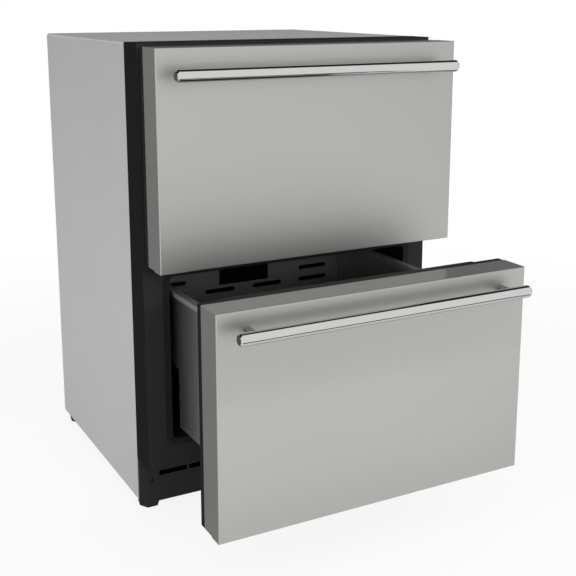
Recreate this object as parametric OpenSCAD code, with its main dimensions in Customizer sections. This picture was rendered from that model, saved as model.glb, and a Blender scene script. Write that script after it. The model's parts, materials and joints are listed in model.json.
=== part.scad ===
// Undercounter refrigerator with two drawers, the lower one pulled part way out.
// Z is up and the floor is z = 0. The fronts face -Y, and +X is to the viewer's right.
// Inside the modules Y is counted from the front edge of the steel cabinet, where the
// black front frame begins; standing() then moves everything to the middle of the footprint.

/* [Cabinet] */
// Width over the two side panels
cab_w = 597; // [560:1:640]
// Height from the floor to the top
cab_h = 876; // [850:1:910]
// Depth of the steel cabinet behind the front frame
cab_d = 491; // [470:1:540]
// Thickness of the cabinet's steel sheet
sheet_t = 1; // [0.7:0.1:1.5]
// Outer radius of the bend along the top edges
bend_r = 3; // [2:0.5:6]
// Width of the folded returns of the side panels
return_w = 12; // [9:1:18]
// Height of the side panels' lower edge above the floor
skirt_gap = 23; // [22:1:30]
// How far the back panel is set in from the rear edges
back_inset = 3; // [3:0.5:6]
// Thickness of the tray under the machine space
pan_t = 1.5; // [1:0.25:2.5]
// Height of the tray's folded rim
pan_rim = 18; // [12:1:24]

/* [Insulation] */
// Foam between the side panels and the liner
side_foam = 44; // [38:1:50]
// Foam between the liner and the back panel
rear_foam = 35.5; // [30:0.5:45]
// Foam under the cavity and round the machine space
base_foam = 35; // [30:1:42]
// Thickness of the plastic liner
liner_t = 1.5; // [1:0.25:2.5]

/* [Front frame] */
// Depth of the black frame in front of the cabinet
frame_d = 60; // [45:1:75]
// How far the frame reaches below the lower front
frame_drop = 5.8; // [2:0.2:10]
// Wall of the trim that lines each opening
trim_t = 2; // [1.5:0.25:3]
// Width of the trim's rim round each opening
trim_rim = 11; // [8:0.5:11.5]
// How far that rim stands proud of the frame
trim_proud = 2; // [1:0.25:3]
// Corner radius of the openings
opening_r = 10; // [4:1:16]

/* [Drawer fronts] */
// Height of the lower front's bottom edge above the floor
front_low = 112.2; // [104:0.2:130]
// Gap between the two fronts
front_gap = 6; // [3:0.5:10]
// Drop of the upper front below the cabinet's top
front_drop = 4.8; // [3:0.2:8]
// How much narrower than the cabinet a front is on each side
front_reveal = 1.7; // [0:0.1:4]
// Depth of the steel part of a front
front_t = 55.7; // [40:0.1:65]
// Sheet thickness of a front
skin_t = 1; // [0.7:0.1:1.5]
// Radius along the edges of the front face
edge_r = 2; // [1.6:0.1:4]
// Step up of the folded hem under a front
hem_step = 2; // [0.5:0.1:3]
// Depth of that hem
hem_d = 27; // [15:0.5:35]
// Thickness of the black inner panel
inner_t = 14; // [8:0.5:20]
// Width of the gasket
gasket_w = 7; // [6:0.5:9]
// Thickness of the gasket when it is closed
gasket_t = 14; // [10:0.5:18]
// Height of an opening's lower edge above the bottom of its front
sill_h = 46.3; // [40:0.1:50]
// Drop from the top of the upper front to the upper opening
upper_head = 36; // [32:0.5:40]
// Drop from the top of the lower front to the lower opening
lower_head = 21.7; // [21.2:0.1:24]

/* [Handles] */
// Diameter of the bar
bar_d = 21; // [16:0.5:26]
// Length of the bar
bar_len = 552; // [480:1:580]
// Distance from the front face to the bar's axis
bar_reach = 36.3; // [30:0.1:45]
// Chamfer at the bar's ends
bar_chamfer = 2.5; // [0.5:0.1:4]
// Diameter of the two posts
post_d = 13; // [9:0.5:15]
// Distance from the bar's end to a post
post_inset = 32.4; // [20:0.1:80]
// Drop of the upper bar below the top of its front
upper_bar_drop = 43; // [30:0.5:60]
// Drop of the lower bar below the top of its front
lower_bar_drop = 32; // [25:0.5:60]

/* [Tubs] */
// Gap between a tub's rim and the opening
rim_gap = 8.4; // [5:0.1:12]
// Width of the rim along each side
rim_w = 15; // [13:0.5:20]
// Height of the rim
rim_h = 10; // [7:0.5:16]
// How far the rim overhangs the side below it
rim_lip = 3; // [1.5:0.25:4]
// Radius of the rim's folds
rim_fold = 1.5; // [1.5:0.25:3]
// Sheet thickness of the sides
tub_sheet = 1; // [0.8:0.1:1.4]
// Thickness of the tub's floor and back
floor_t = 1.2; // [1:0.1:2]
// Gap between a shut tub and the air duct behind it
tub_gap = 9.3; // [5:0.1:24]
// Drop from the top of a front to the rim
rim_drop = 51.2; // [48:0.2:60]
// Length of the deep front part of the lower tub
deep_len = 226; // [190:1:250]

/* [Air slots] */
// Width of a slot in the tub's back
slot_w = 65; // [50:1:75]
// Height of a slot
slot_h = 9; // [6:0.5:12]
// Distance between slot columns
slot_step_x = 108.5; // [100:0.5:112]
// Distance between slot rows
slot_step_z = 25.2; // [22:0.2:26]
// Height of the lowest row above the back's lower edge
slot_first = 15.5; // [10:0.5:18]
// Width of the rectangular cut-out
port_w = 112; // [80:1:150]
// Height of the cut-out
port_h = 50; // [30:1:52]

/* [Slides] */
// Width of a runner
runner_w = 34; // [30:0.5:40]
// Height of a runner from its base to the tub
runner_h = 20; // [18:0.5:21]
// Sheet thickness of the runner members
runner_t = 1.5; // [1.2:0.1:1.8]
// Width of the lips that hold one member in the next
runner_lip = 2.5; // [2:0.1:3]
// Play between members
runner_play = 0.4; // [0.3:0.05:0.5]
// Distance from a runner's axis to the tub's outer side
runner_inset = 31.6; // [28:0.1:60]
// Gap between the upper runners and the opening's lower edge
runner_gap = 4.7; // [3:0.1:12]
// How far the lower drawer is pulled out
pulled = 223.3; // [0:0.1:300]

/* [Toe space] */
// How far the toe grille stands in front of the cabinet
toe_proud = 6; // [4:0.5:12]
// Height of the toe grille's lower edge above the floor
toe_low = 13; // [11:0.5:20]
// Width of an air slot in the toe grille
toe_slot_w = 57.2; // [30:0.2:60]
// Height of an air slot
toe_slot_h = 9.7; // [6:0.1:14]
// Web between two air slots
toe_web = 4.4; // [3:0.1:8]
// Height of the slots' lower edge above the floor
toe_slot_z = 64.5; // [45:0.5:80]
// Number of slots on each side of the middle
toe_slots = 4; // [1:1:4]
// Distance of a toe screw from the side of the cabinet
toe_screw_x = 25; // [15:0.5:28]
// Height of a toe screw above the floor
toe_screw_z = 58; // [40:0.5:80]

/* [Feet] */
// Circumradius of a foot's hexagon at the floor
foot_r = 20; // [14:0.5:22]
// How much that radius grows up to the top of the pad
foot_flare = 3.5; // [0:0.5:4]
// Height of the pad
foot_h = 14; // [10:0.5:16]
// Radius of the threaded stem
stem_r = 5; // [4:0.5:6]
// Length of the stem above the pad
stem_len = 55; // [40:1:65]
// Distance of a foot's axis from the side
foot_x = 28; // [26:0.5:40]
// Distance of a foot's axis from the front or rear edge
foot_y = 18; // [18:0.5:40]
// Running clearance of the stem in its nut
stem_play = 0.1; // [0.05:0.01:0.3]

/* [Cooling] */
// Depth of the air duct behind the tubs
duct_d = 62; // [58:0.5:64]
// Radius of the evaporator fan
evap_fan_r = 52; // [35:1:58]
// Radius of the condenser fan
cond_fan_r = 72; // [50:1:78]
// Radius of the compressor's shell
comp_r = 74; // [55:1:80]
// Height of the compressor's shell
comp_h = 158; // [120:1:170]
// Room above the compressor
comp_room = 40.5; // [30:0.5:60]
// Radius of the suction pipe
suction_r = 4; // [3:0.5:5]
// Radius of the liquid pipe
liquid_r = 3; // [2:0.5:4]

/* [Hidden] */
$fn = 48;

steel = "#b9bab8";
bright = "#d9dad8";
zinc = "#9fa3a6";
black = "#232425";
dark = "#38393a";
foam = "#e6dfb4";
copper = "#b87333";
seat = 0.2;      // clearance of a piece that sits in its seat
through = 1;     // how far a cut runs past the face it opens

// Cabinet shell
half_w = cab_w / 2;
in_w = half_w - sheet_t;
back_y = cab_d - back_inset;
panel_y = back_y - sheet_t;

// Liner and cavity
cav_w = in_w - side_foam - liner_t;
cav_back = panel_y - rear_foam - liner_t;

// Fronts, from the outside in
gasket_gap = 0.3;
gasket_y = -frame_d - gasket_gap;
inner_y = gasket_y - gasket_t;
skin_y = inner_y - inner_t;
face_y = skin_y - front_t;
front_w = half_w - front_reveal;
front_h = (cab_h - front_drop - front_gap - front_low) / 2;
upper_top = cab_h - front_drop;
upper_low = upper_top - front_h;
lower_top = front_low + front_h;
frame_low = front_low - frame_drop;

// Openings: [lower edge, upper edge]
open_w = cav_w - trim_t;
upper_open = [upper_low + sill_h, upper_top - upper_head];
lower_open = [front_low + sill_h, lower_top - lower_head];
gasket_in = trim_rim + 1;
cav_low = lower_open[0] - trim_t;
cav_top = upper_open[1] + trim_t;

// Machine space under the stepped cavity
pan_top = skirt_gap + pan_t;
mount_h = 15;
comp_z = pan_top + mount_h;
machine_z = comp_z + comp_h + comp_room;
hump_z = machine_z + base_foam + liner_t;
tunnel_z = cav_low - liner_t - base_foam;

// Air duct at the back of the cavity
duct_t = 2;
duct_y = cav_back - duct_d;
duct_w = cav_w - 22;

// Tubs
rim_x = open_w - rim_gap;
side_x = rim_x - rim_lip;
well_x = rim_x - rim_w;
tub_back_y = duct_y - tub_gap;
deep_y = inner_y + deep_len;
upper_rim = upper_top - rim_drop;
lower_rim = lower_top - rim_drop;
upper_runner_z = upper_open[0] + runner_gap;
upper_floor = upper_runner_z + runner_h;
lower_floor = lower_open[0] + runner_gap + runner_h;
shelf_z = hump_z + runner_h;
duct_low = shelf_z + 6;
duct_high = cav_top - 8;

// Hump over the machine space
hump_clear = 12;
hump_y = deep_y + floor_t + hump_clear;
machine_y = hump_y + liner_t + base_foam;

// Runners
runner_x = side_x - runner_inset;
member_h = runner_h - 2 * runner_t - 1;
runner_front = -frame_d + 15;
runner_rear = tub_back_y;
hump_runner = [deep_y + floor_t + 3, cav_back - 8];

// Evaporator and its fan
shaft_r = 2.5;
shaft_play = 0.05;
motor_r = 20;
motor_len = 24;
tube_r = 4;
fin_t = 1.2;
plate_t = 3;
coil_x = 190;
coil_y = [duct_y + 14, cav_back - 4];
evap_fan_z = (lower_open[1] + upper_open[0]) / 2;
coil_z = [evap_fan_z + evap_fan_r + 22, duct_high - 30];
coil_rows = 6;
riser_y = (coil_y[0] + coil_y[1]) / 2;
suction_x = -110;
liquid_x = -150;

// Compressor, condenser and its fan
comp_x = half_w - comp_r - 66;
comp_y = cab_d - comp_r - 62;
cond_fan_x = -half_w + cond_fan_r + 62;
cond_fan_z = pan_top + cond_fan_r + 20;
cond_motor_y = machine_y + 50;
cond_x = [-half_w + 60, half_w - 90];
cond_y = [45, machine_y - 45];
cond_z = [pan_top + 4, tunnel_z - 6];
cond_rows = 3;

// Middle of the footprint, with the lower drawer pulled out
bar_front = face_y - pulled - bar_reach - bar_d / 2;
centre_y = (bar_front + cab_d) / 2;

// ---------- helpers ----------

module standing() translate([0, -centre_y, 0]) children();

module opened() translate([0, -pulled, 0]) standing() children();

// a profile in (y, z), drawn out along X
module along_x(x0, x1) translate([x0, 0, 0]) rotate([90, 0, 90]) linear_extrude(x1 - x0) children();

// a profile in (x, z), drawn out along Y
module along_y(y0, y1) translate([0, y1, 0]) rotate([90, 0, 0]) linear_extrude(y1 - y0) children();

module block(low, high) translate(low) cube(high - low);

module rect(low, high) translate(low) square(high - low);

module round_rect(low, high, r) {
    rect([low[0] + r, low[1]], [high[0] - r, high[1]]);
    rect([low[0], low[1] + r], [high[0], high[1] - r]);
    for (x = [low[0] + r, high[0] - r], z = [low[1] + r, high[1] - r]) translate([x, z]) circle(r);
}

// a rectangle whose two corners at the low first coordinate are round
module nosed_rect(low, high, r) {
    rect([low[0] + r, low[1]], high);
    rect([low[0], low[1] + r], [high[0], high[1] - r]);
    for (b = [low[1] + r, high[1] - r]) translate([low[0] + r, b]) circle(r);
}

// a block whose front edges are rounded all round
module nosed_block(w, y0, y1, z0, z1, r) {
    intersection() {
        translate([0, 0, z0]) linear_extrude(z1 - z0) mirror([1, -1]) nosed_rect([y0, -w], [y1, w], r);
        along_x(-w, w) nosed_rect([y0, z0], [y1, z1], r);
    }
}

module both_sides() {
    children();
    mirror([1, 0, 0]) children();
}

// a round rod from one point to another
module rod(a, b, r) {
    v = b - a;
    turn = [0, acos(v[2] / norm(v)), atan2(v[1], v[0])];
    translate(a) rotate(turn) cylinder(r = r, h = norm(v));
}

// a pipe along the points of its route, with a brazed elbow at each turn
module pipe(route, r) {
    for (i = [0 : len(route) - 2]) rod(route[i], route[i + 1], r);
    for (i = [1 : len(route) - 2]) translate(route[i]) sphere(r * 1.3);
}

// ---------- cabinet shell ----------

// outline of the left side's folded edge, taken in by g from its outer face
module folded_edge(g, low) {
    top = cab_h - sheet_t;
    rect([-half_w + g, low], [-half_w + return_w + g, top - bend_r]);
    rect([-half_w + bend_r, low], [-half_w + return_w + g, top - g]);
    translate([-half_w + bend_r, top - bend_r]) circle(bend_r - g);
}

// side panel with its bend along the top and folded returns at the front and rear
module side_shell() {
    along_y(0, cab_d) difference() {
        folded_edge(0, skirt_gap);
        folded_edge(sheet_t, skirt_gap - through);
    }
    return_top = cab_h - 2 * sheet_t - bend_r;
    block([-half_w + sheet_t / 2, 0, skirt_gap], [-half_w + return_w, sheet_t, return_top]);
    difference() {
        block([-half_w + sheet_t / 2, panel_y - sheet_t, skirt_gap], [-half_w + return_w, panel_y, return_top]);
        rear_screw_holes();
    }
}

module side_panel_left() color(steel) standing() side_shell();

module side_panel_right() color(steel) standing() mirror([1, 0, 0]) side_shell();

// flat top with a folded edge at the rear
module top_panel() color(steel) standing() {
    block([-half_w + bend_r, 0, cab_h - sheet_t], [half_w - bend_r, cab_d, cab_h]);
    block([-half_w + return_w + seat, cab_d - sheet_t, cab_h - return_w], [half_w - return_w - seat, cab_d, cab_h - sheet_t]);
}

rear_low = machine_z + 8;

module back_panel() color(zinc) standing() difference() {
    union() {
        block([-in_w + seat, panel_y, rear_low], [in_w - seat, back_y, cab_h - return_w - 1]);
        for (z = rib_zs) rib(back_y + rib_depth, 0, z);
    }
    for (z = rib_zs) rib(back_y + rib_depth - sheet_t, sheet_t, z);
    rear_screw_holes();
}

// pressing of a rib out to y, taken in by g
module rib(y, g, z)
    along_y(panel_y - (g > 0 ? through : 0), y)
        round_rect([-rib_size[0] / 2 + g, z - rib_size[1] / 2 + g], [rib_size[0] / 2 - g, z + rib_size[1] / 2 - g], rib_size[1] / 3);

// sunk ribs that stiffen the back panel
rib_size = [400, 24];
rib_depth = 2;
rib_zs = [for (i = [1 : 3]) rear_low + (cab_h - rear_low) * i / 4];

// rear cover of the machine space, with rows of hooded air slots and a hole for the inlet
vent_rows = 7;
vent_cols = 4;
vent_size = [70, 6];
vent_step = [88, 18];
hood_proud = 2.5;
hood_rise = 3;
hood_drop = 4;
inlet_pos = [-in_w + 70, 75];
inlet_size = [50, 30];
cover_low = skirt_gap + 4;

module machine_cover() color(zinc) standing() {
    for (p = vent_spots) translate([p[0], 0, p[1]]) vent_hood();
    cover_sheet();
}

module cover_sheet() difference() {
    along_y(panel_y, back_y) difference() {
        rect([-in_w + seat, cover_low], [in_w - seat, rear_low - 1]);
        for (p = vent_spots) translate(p) rect([sheet_t, 0], vent_size - [sheet_t, 0]);
        rect(inlet_pos - inlet_size / 2, inlet_pos + inlet_size / 2);
    }
    rear_screw_holes();
}

vent_spots = [for (i = [0 : vent_cols - 1], j = [0 : vent_rows - 1]) [-60 + i * vent_step[0], cover_low + 40 + j * vent_step[1]]];

// slanted hood over each slot, open below, with two cheeks
module vent_hood() {
    top = vent_size[1];
    tip = [back_y + hood_proud, top - hood_drop];
    along_x(0, vent_size[0]) polygon([[back_y - sheet_t / 2, top + hood_rise], [back_y, top + hood_rise], tip,
                                      [tip[0] - sheet_t, tip[1]], [back_y - sheet_t / 2, top]]);
    for (x = [0, vent_size[0] - sheet_t]) along_x(x, x + sheet_t)
        polygon([[back_y - sheet_t / 2, top + hood_rise], [back_y, top + hood_rise], tip, [back_y - sheet_t / 2, tip[1]]]);
}

// pan-head screw, its head on the plane y = 0 and pointing to +Y
module screw(head_r, head_h, shank_r, shank_len) {
    rotate([-90, 0, 0]) {
        translate([0, 0, -head_h]) cylinder(r = head_r, h = head_h);
        cylinder(r = shank_r, h = shank_len);
    }
}

screw_r = 2;
screw_play = 0.2;
rear_screw_x = in_w - return_w / 2;
rear_screw_zs = [cover_low + 12, rear_low - 14, rear_low + 14, (rear_low + cab_h) / 2, cab_h - 60];

module rear_screw_holes()
    for (s = [-1, 1], z = rear_screw_zs)
        translate([s * rear_screw_x, back_y + through, z]) rotate([90, 0, 0]) cylinder(r = screw_r + screw_play, h = 10);

// the screws of the two rear panels and of the toe grille
module panel_screws() color(zinc) standing() {
    for (s = [-1, 1]) {
        for (z = rear_screw_zs)
            translate([s * rear_screw_x, back_y, z]) mirror([0, 1, 0]) screw(3.5, 1.8, screw_r, 2 * sheet_t);
        translate([s * (half_w - toe_screw_x), toe_cup - toe_proud, toe_screw_z])
            screw(toe_cup_r - 1, 1.2, screw_r, toe_proud - toe_cup + pan_tab_y + pan_t + 1);
    }
}

pan_tab_y = 6;
toe_tab_x = half_w - toe_screw_x;
toe_tab_w = 18;

// steel tray under everything, with a hole for each foot and two tabs for the toe grille
module base_pan() color(zinc) standing() difference() {
    union() {
        block([-in_w + seat, sheet_t + seat, skirt_gap], [in_w - seat, panel_y - sheet_t - seat, pan_top]);
        both_sides() block([in_w - seat - pan_t, sheet_t + seat, skirt_gap],
                           [in_w - seat, panel_y - sheet_t - seat, skirt_gap + pan_rim]);
        block([-in_w + return_w, pan_tab_y, skirt_gap], [in_w - return_w, pan_tab_y + pan_t, skirt_gap + pan_rim]);
        both_sides() block([toe_tab_x - toe_tab_w / 2, pan_tab_y, skirt_gap],
                           [toe_tab_x + toe_tab_w / 2, pan_tab_y + pan_t, toe_screw_z + toe_tab_w / 2]);
        block([-in_w + seat, panel_y - 8, skirt_gap], [in_w - seat, panel_y - 8 + pan_t, skirt_gap + pan_rim]);
    }
    for (x = foot_xs, y = foot_ys)
        translate([x, y, skirt_gap - through]) cylinder(r = stem_r + 1, h = 4);
    toe_screw_holes(pan_tab_y + pan_t + through);
}

// two holes along Y, up to y, for the screws of the toe grille
module toe_screw_holes(y)
    both_sides() translate([toe_tab_x, y, toe_screw_z]) rotate([90, 0, 0]) cylinder(r = screw_r + screw_play, h = 30);

foot_xs = [-half_w + foot_x, half_w - foot_x];
foot_ys = [foot_y, cab_d - foot_y - back_inset];
nut_h = 8;

module foot_nuts() color(zinc) standing()
    for (x = foot_xs, y = foot_ys) translate([x, y, pan_top]) difference() {
        cylinder(r = stem_r + 4.5, h = nut_h, $fn = 6);
        translate([0, 0, -through]) cylinder(r = stem_r + stem_play, h = nut_h + 2 * through);
    }

// levelling foot: flared hexagonal pad, a collar that stops against the tray, and the stem
module foot(x, y) color(black) standing() translate([x, y, 0]) {
    cylinder(r1 = foot_r, r2 = foot_r + foot_flare, h = foot_h, $fn = 6);
    translate([0, 0, foot_h]) cylinder(r = stem_r + 4, h = skirt_gap - foot_h - 0.3);
    translate([0, 0, foot_h]) cylinder(r = stem_r, h = stem_len);
}

module foot_front_left() foot(foot_xs[0], foot_ys[0]);

module foot_front_right() foot(foot_xs[1], foot_ys[0]);

module foot_rear_left() foot(foot_xs[0], foot_ys[1]);

module foot_rear_right() foot(foot_xs[1], foot_ys[1]);

// ---------- insulation, liner, front frame ----------

// section of the stepped cavity, grown by g on every closed side
module cavity_section(front, g) {
    polygon([[front, cav_low - g], [hump_y + g, cav_low - g], [hump_y + g, hump_z - g],
             [cav_back + g, hump_z - g], [cav_back + g, cav_top + g], [front, cav_top + g]]);
}

// passages of the two risers through what lies between two heights
module riser_holes(z0, z1) {
    translate([suction_x, riser_y, z0 - through]) cylinder(r = suction_r + 0.5, h = z1 - z0 + 2 * through);
    translate([liquid_x, riser_y, z0 - through]) cylinder(r = liquid_r + 0.5, h = z1 - z0 + 2 * through);
}

module cabinet_foam() color(foam) standing() difference() {
    along_x(-in_w + seat, in_w - seat)
        polygon([[sheet_t + seat, tunnel_z], [machine_y, tunnel_z], [machine_y, machine_z],
                 [panel_y - sheet_t - seat, machine_z], [panel_y - sheet_t - seat, cab_h - 2 * sheet_t - seat],
                 [sheet_t + seat, cab_h - 2 * sheet_t - seat]]);
    along_x(-cav_w - liner_t - seat, cav_w + liner_t + seat) cavity_section(-through, liner_t + seat);
    riser_holes(machine_z, hump_z);
    // room for the bends along the top edges
    both_sides() along_y(-through, cab_d) rect([half_w - bend_r - 1, cab_h - 2 * sheet_t - bend_r - 1], [half_w, cab_h]);
}

module inner_liner() color(dark) standing() difference() {
    along_x(-cav_w - liner_t, cav_w + liner_t) cavity_section(seat, liner_t);
    along_x(-cav_w, cav_w) cavity_section(-through, 0);
    riser_holes(machine_z, hump_z);
}

// black frame in front of the cabinet, with the two openings
module front_frame() color(black) standing() along_y(-frame_d, 0) difference() {
    rect([-half_w, frame_low], [half_w, cab_h]);
    for (o = [upper_open, lower_open])
        round_rect([-cav_w, o[0] - trim_t], [cav_w, o[1] + trim_t], opening_r + trim_t);
}

// lining of an opening: a throat through the frame and a raised rim on its face
module opening_trim(o) difference() {
    union() {
        along_y(-frame_d, -seat)
            round_rect([-cav_w + seat, o[0] - trim_t + seat], [cav_w - seat, o[1] + trim_t - seat], opening_r + trim_t - seat);
        along_y(-frame_d - trim_proud, -frame_d)
            round_rect([-open_w - trim_rim, o[0] - trim_rim], [open_w + trim_rim, o[1] + trim_rim], opening_r + trim_rim);
    }
    along_y(-frame_d - trim_proud - through, through)
        round_rect([-open_w, o[0]], [open_w, o[1]], opening_r);
}

module opening_trims() color(dark) standing() {
    opening_trim(upper_open);
    opening_trim(lower_open);
}

// ---------- toe space ----------

toe_w = half_w - 0.5;
toe_t = 1.2;
toe_outer = half_w - 40.3;
// the slots of one side stay short of the middle
slot_long = min(toe_slot_w, (toe_outer - (toe_slots - 0.5) * toe_web) / toe_slots);

// pressed cups that the heads of the screws sit in
toe_cup = 2.5;
toe_cup_r = 5.2;

module toe_cup_block(r, depth)
    translate([toe_tab_x, -toe_proud, toe_screw_z]) rotate([-90, 0, 0]) cylinder(r = r, h = depth);

module toe_slots_cut()
    for (i = [0 : toe_slots - 1]) {
        x = toe_outer - (i + 0.5) * slot_long - i * toe_web;
        block([x - slot_long / 2, -toe_proud - through, toe_slot_z],
              [x + slot_long / 2, -toe_proud + toe_t + through, toe_slot_z + toe_slot_h]);
    }

// slotted plate with folded sides and top
module toe_grille() color(dark) standing() difference() {
    union() {
        block([-toe_w, -toe_proud, toe_low], [toe_w, -toe_proud + toe_t, frame_low - seat]);
        both_sides() block([-toe_w, -toe_proud, skirt_gap], [-toe_w + toe_t, -seat, frame_low - seat]);
        block([-toe_w, -toe_proud, frame_low - seat - toe_t], [toe_w, -seat, frame_low - seat]);
        both_sides() toe_cup_block(toe_cup_r + toe_t, toe_cup + toe_t);
    }
    both_sides() translate([0, -through, 0]) toe_cup_block(toe_cup_r, toe_cup + through);
    both_sides() toe_slots_cut();
    toe_screw_holes(through);
}

// ---------- inside the cavity ----------

// plain touch strip with a row of blank keys, under the ceiling behind the frame
strip_size = [180, 60, 9];
strip_y = 15;
key_r = 8;
key_h = 0.6;
key_step = 26;

module control_panel() color(black) standing() translate([0, strip_y, cav_top - strip_size[2]]) {
    translate([-strip_size[0] / 2, 0, 0]) cube(strip_size);
    for (i = [-2 : 2]) translate([i * key_step, strip_size[1] / 3, -key_h]) cylinder(r = key_r, h = key_h);
}

// one lamp under the ceiling and one behind the rail between the drawers
led_size = [300, 12, 7];
led_y = 100;

module led_bars() color("white") standing() {
    translate([-led_size[0] / 2, led_y, cav_top - led_size[2]]) cube(led_size);
    translate([-led_size[0] / 2, 0, evap_fan_z - led_size[1] / 2]) cube([led_size[0], led_size[2], led_size[1]]);
}

// button sensor on the cavity's left wall
sensor_r = 9;
sensor_h = 7;

module temperature_sensor() color("white") standing()
    translate([-cav_w, duct_y - 78, upper_floor + 120]) rotate([0, 90, 0]) {
        cylinder(r = sensor_r, h = 2);
        cylinder(r = sensor_r - 4, h = sensor_h);
    }

// duct cover behind the tubs, with two rows of air slots above and below and the fan's mouth
air_slot = [36, 7];
air_step = [54, 25];
air_rows = [duct_high - 30, duct_high - 30 - air_step[1], duct_low + 60, duct_low + 60 + air_step[1]];

module evaporator_cover() color(dark) standing() difference() {
    block([-duct_w, duct_y, duct_low], [duct_w, cav_back - seat, duct_high]);
    block([-duct_w + duct_t, duct_y + duct_t, duct_low + duct_t], [duct_w - duct_t, cav_back + through, duct_high - duct_t]);
    translate([0, duct_y - through, evap_fan_z]) rotate([-90, 0, 0]) cylinder(r = evap_fan_r + 4, h = duct_t + 2 * through);
    for (i = [-3.5 : 3.5], z = air_rows)
        translate([i * air_step[0] - air_slot[0] / 2, duct_y - through, z]) cube([air_slot[0], duct_t + 2 * through, air_slot[1]]);
    riser_holes(duct_low, duct_low + duct_t);
}

// height of a coil's tube in row j
function row_z(z, rows, j) = z[0] + (z[1] - z[0]) * (j + 0.5) / rows;

// finned coil: tubes along X through thin upright fins between two end plates, and return bends outside them
module finned_coil(x, y, z, fins, rows) {
    mid_y = (y[0] + y[1]) / 2;
    for (i = [1 : fins]) {
        fin_x = x[0] + (x[1] - x[0]) * i / (fins + 1);
        block([fin_x - fin_t / 2, y[0], z[0]], [fin_x + fin_t / 2, y[1], z[1]]);
    }
    for (end = [x[0], x[1] - plate_t]) block([end, y[0], z[0]], [end + plate_t, y[1], z[1]]);
    for (j = [0 : rows - 1]) rod([x[0] + 1, mid_y, row_z(z, rows, j)], [x[1] - 1, mid_y, row_z(z, rows, j)], tube_r);
    for (j = [0 : rows - 2]) {
        side = j % 2;
        translate([x[1 - side], mid_y, row_z(z, rows, j + 0.5)]) mirror([side, 0, 0]) rotate([90, 0, 0])
            rotate_extrude(angle = 180, start = -90) translate([(z[1] - z[0]) / rows / 2, 0]) circle(tube_r);
    }
}

evap_fins = 24;
hook_h = 30;

module evaporator_coil() color("silver") standing() {
    finned_coil([-coil_x, coil_x], coil_y, coil_z, evap_fins, coil_rows);
    // hooks that hang the coil on the cavity's back wall
    for (x = [-coil_x, coil_x - plate_t])
        block([x, coil_y[1] - through, coil_z[1] - 10 - hook_h], [x + plate_t, cav_back - seat, coil_z[1] - 10]);
}

// motor can with its shaft, on a three-legged bracket that ends at y = back; its front face is at y = 0
module fan_motor(len, leg_r, back, shaft_len) {
    leg_w = 8;
    leg_t = 3;
    leg_y = len - 5;
    rotate([-90, 0, 0]) {
        cylinder(r = motor_r, h = len);
        translate([0, 0, -shaft_len]) cylinder(r = shaft_r, h = shaft_len + 1);
        for (a = [90, 210, 330]) rotate([0, 0, a]) {
            translate([motor_r - 2, -leg_w / 2, leg_y]) cube([leg_r - motor_r + 2, leg_w, leg_t]);
            translate([leg_r - leg_t, -leg_w / 2, leg_y]) cube([leg_t, leg_w, back - leg_y]);
        }
    }
}

evap_rotor_d = 18;
evap_motor_y = cav_back - motor_len - 4;

module evaporator_fan_motor() color(black) standing() translate([0, evap_motor_y, evap_fan_z])
    fan_motor(motor_len, evap_fan_r, cav_back - seat - evap_motor_y, evap_rotor_d - 4);

// rotor with pitched blades round a hub that runs on the shaft; it fills y = -depth to 0
module rotor(r, hub_r, depth, blades, pitch, chord) {
    blade_t = 1.5;
    rotate([90, 0, 0]) {
        difference() {
            cylinder(r = hub_r, h = depth);
            translate([0, 0, -through]) cylinder(r = shaft_r + shaft_play, h = depth - 2 + through);
        }
        for (i = [0 : blades - 1]) rotate([0, 0, i * 360 / blades]) intersection() {
            difference() {
                cylinder(r = r, h = depth);
                translate([0, 0, -through]) cylinder(r = hub_r - 1, h = depth + 2 * through);
            }
            translate([0, 0, depth / 2]) rotate([pitch, 0, 0]) translate([0, -chord / 2, -blade_t / 2]) cube([r + 5, chord, blade_t]);
        }
    }
}

rotor_gap = 0.3;

module evaporator_fan() color("white") standing() translate([0, evap_motor_y - rotor_gap, evap_fan_z])
    rotor(evap_fan_r, 15, evap_rotor_d, 5, 28, 34);

// ---------- machine space ----------

// heights of the shell's lower and upper domes, and of the foot plate
dome_low = 24;
dome_high = 34;
foot_plate_t = 3;
stub_len = 10;
suction_stub_z = comp_h * 0.66;
discharge_stub_z = comp_h * 0.35;
mount_spots = [for (x = [-1, 1], y = [-1, 1]) [x * (comp_r + 3), y * (comp_r - 22)]];

// welded shell with a belt round the middle and domed ends, on a foot plate, with terminals and pipe stubs
module compressor() color(black) standing() translate([comp_x, comp_y, comp_z]) {
    rotate_extrude() {
        intersection() {
            union() {
                rect([0, dome_low], [comp_r, comp_h - dome_high]);
                translate([0, dome_low]) scale([1, dome_low / comp_r]) circle(comp_r);
                translate([0, comp_h - dome_high]) scale([1, dome_high / comp_r]) circle(comp_r);
            }
            rect([0, 0], [comp_r, comp_h]);
        }
        rect([comp_r - 2, comp_h / 2 - 5], [comp_r + 3, comp_h / 2 + 5]);
    }
    difference() {
        block([-comp_r - 12, -comp_r + 12, 0], [comp_r + 12, comp_r - 12, foot_plate_t]);
        for (p = mount_spots) translate([p[0], p[1], -through]) cylinder(r = mount_bolt_r + 0.3, h = foot_plate_t + 2 * through);
    }
    block([comp_r - 12, -24, 40], [comp_r + 22, 24, 84]);
    rod([-comp_r - stub_len, 0, suction_stub_z], [-comp_r + 6, 0, suction_stub_z], suction_r + 1);
    rod([0, -comp_r - stub_len, discharge_stub_z], [0, -comp_r + 6, discharge_stub_z], liquid_r + 1);
}

mount_bolt_r = 4.2;

// rubber feet with their bolts
module compressor_mounts() color(black) standing() translate([comp_x, comp_y, pan_top])
    for (p = mount_spots) translate([p[0], p[1], 0]) {
        cylinder(r = 9, h = mount_h);
        cylinder(r = mount_bolt_r, h = mount_h + foot_plate_t + 5);
        translate([0, 0, mount_h + foot_plate_t + seat]) cylinder(r = 7, h = 4, $fn = 6);
    }

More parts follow.
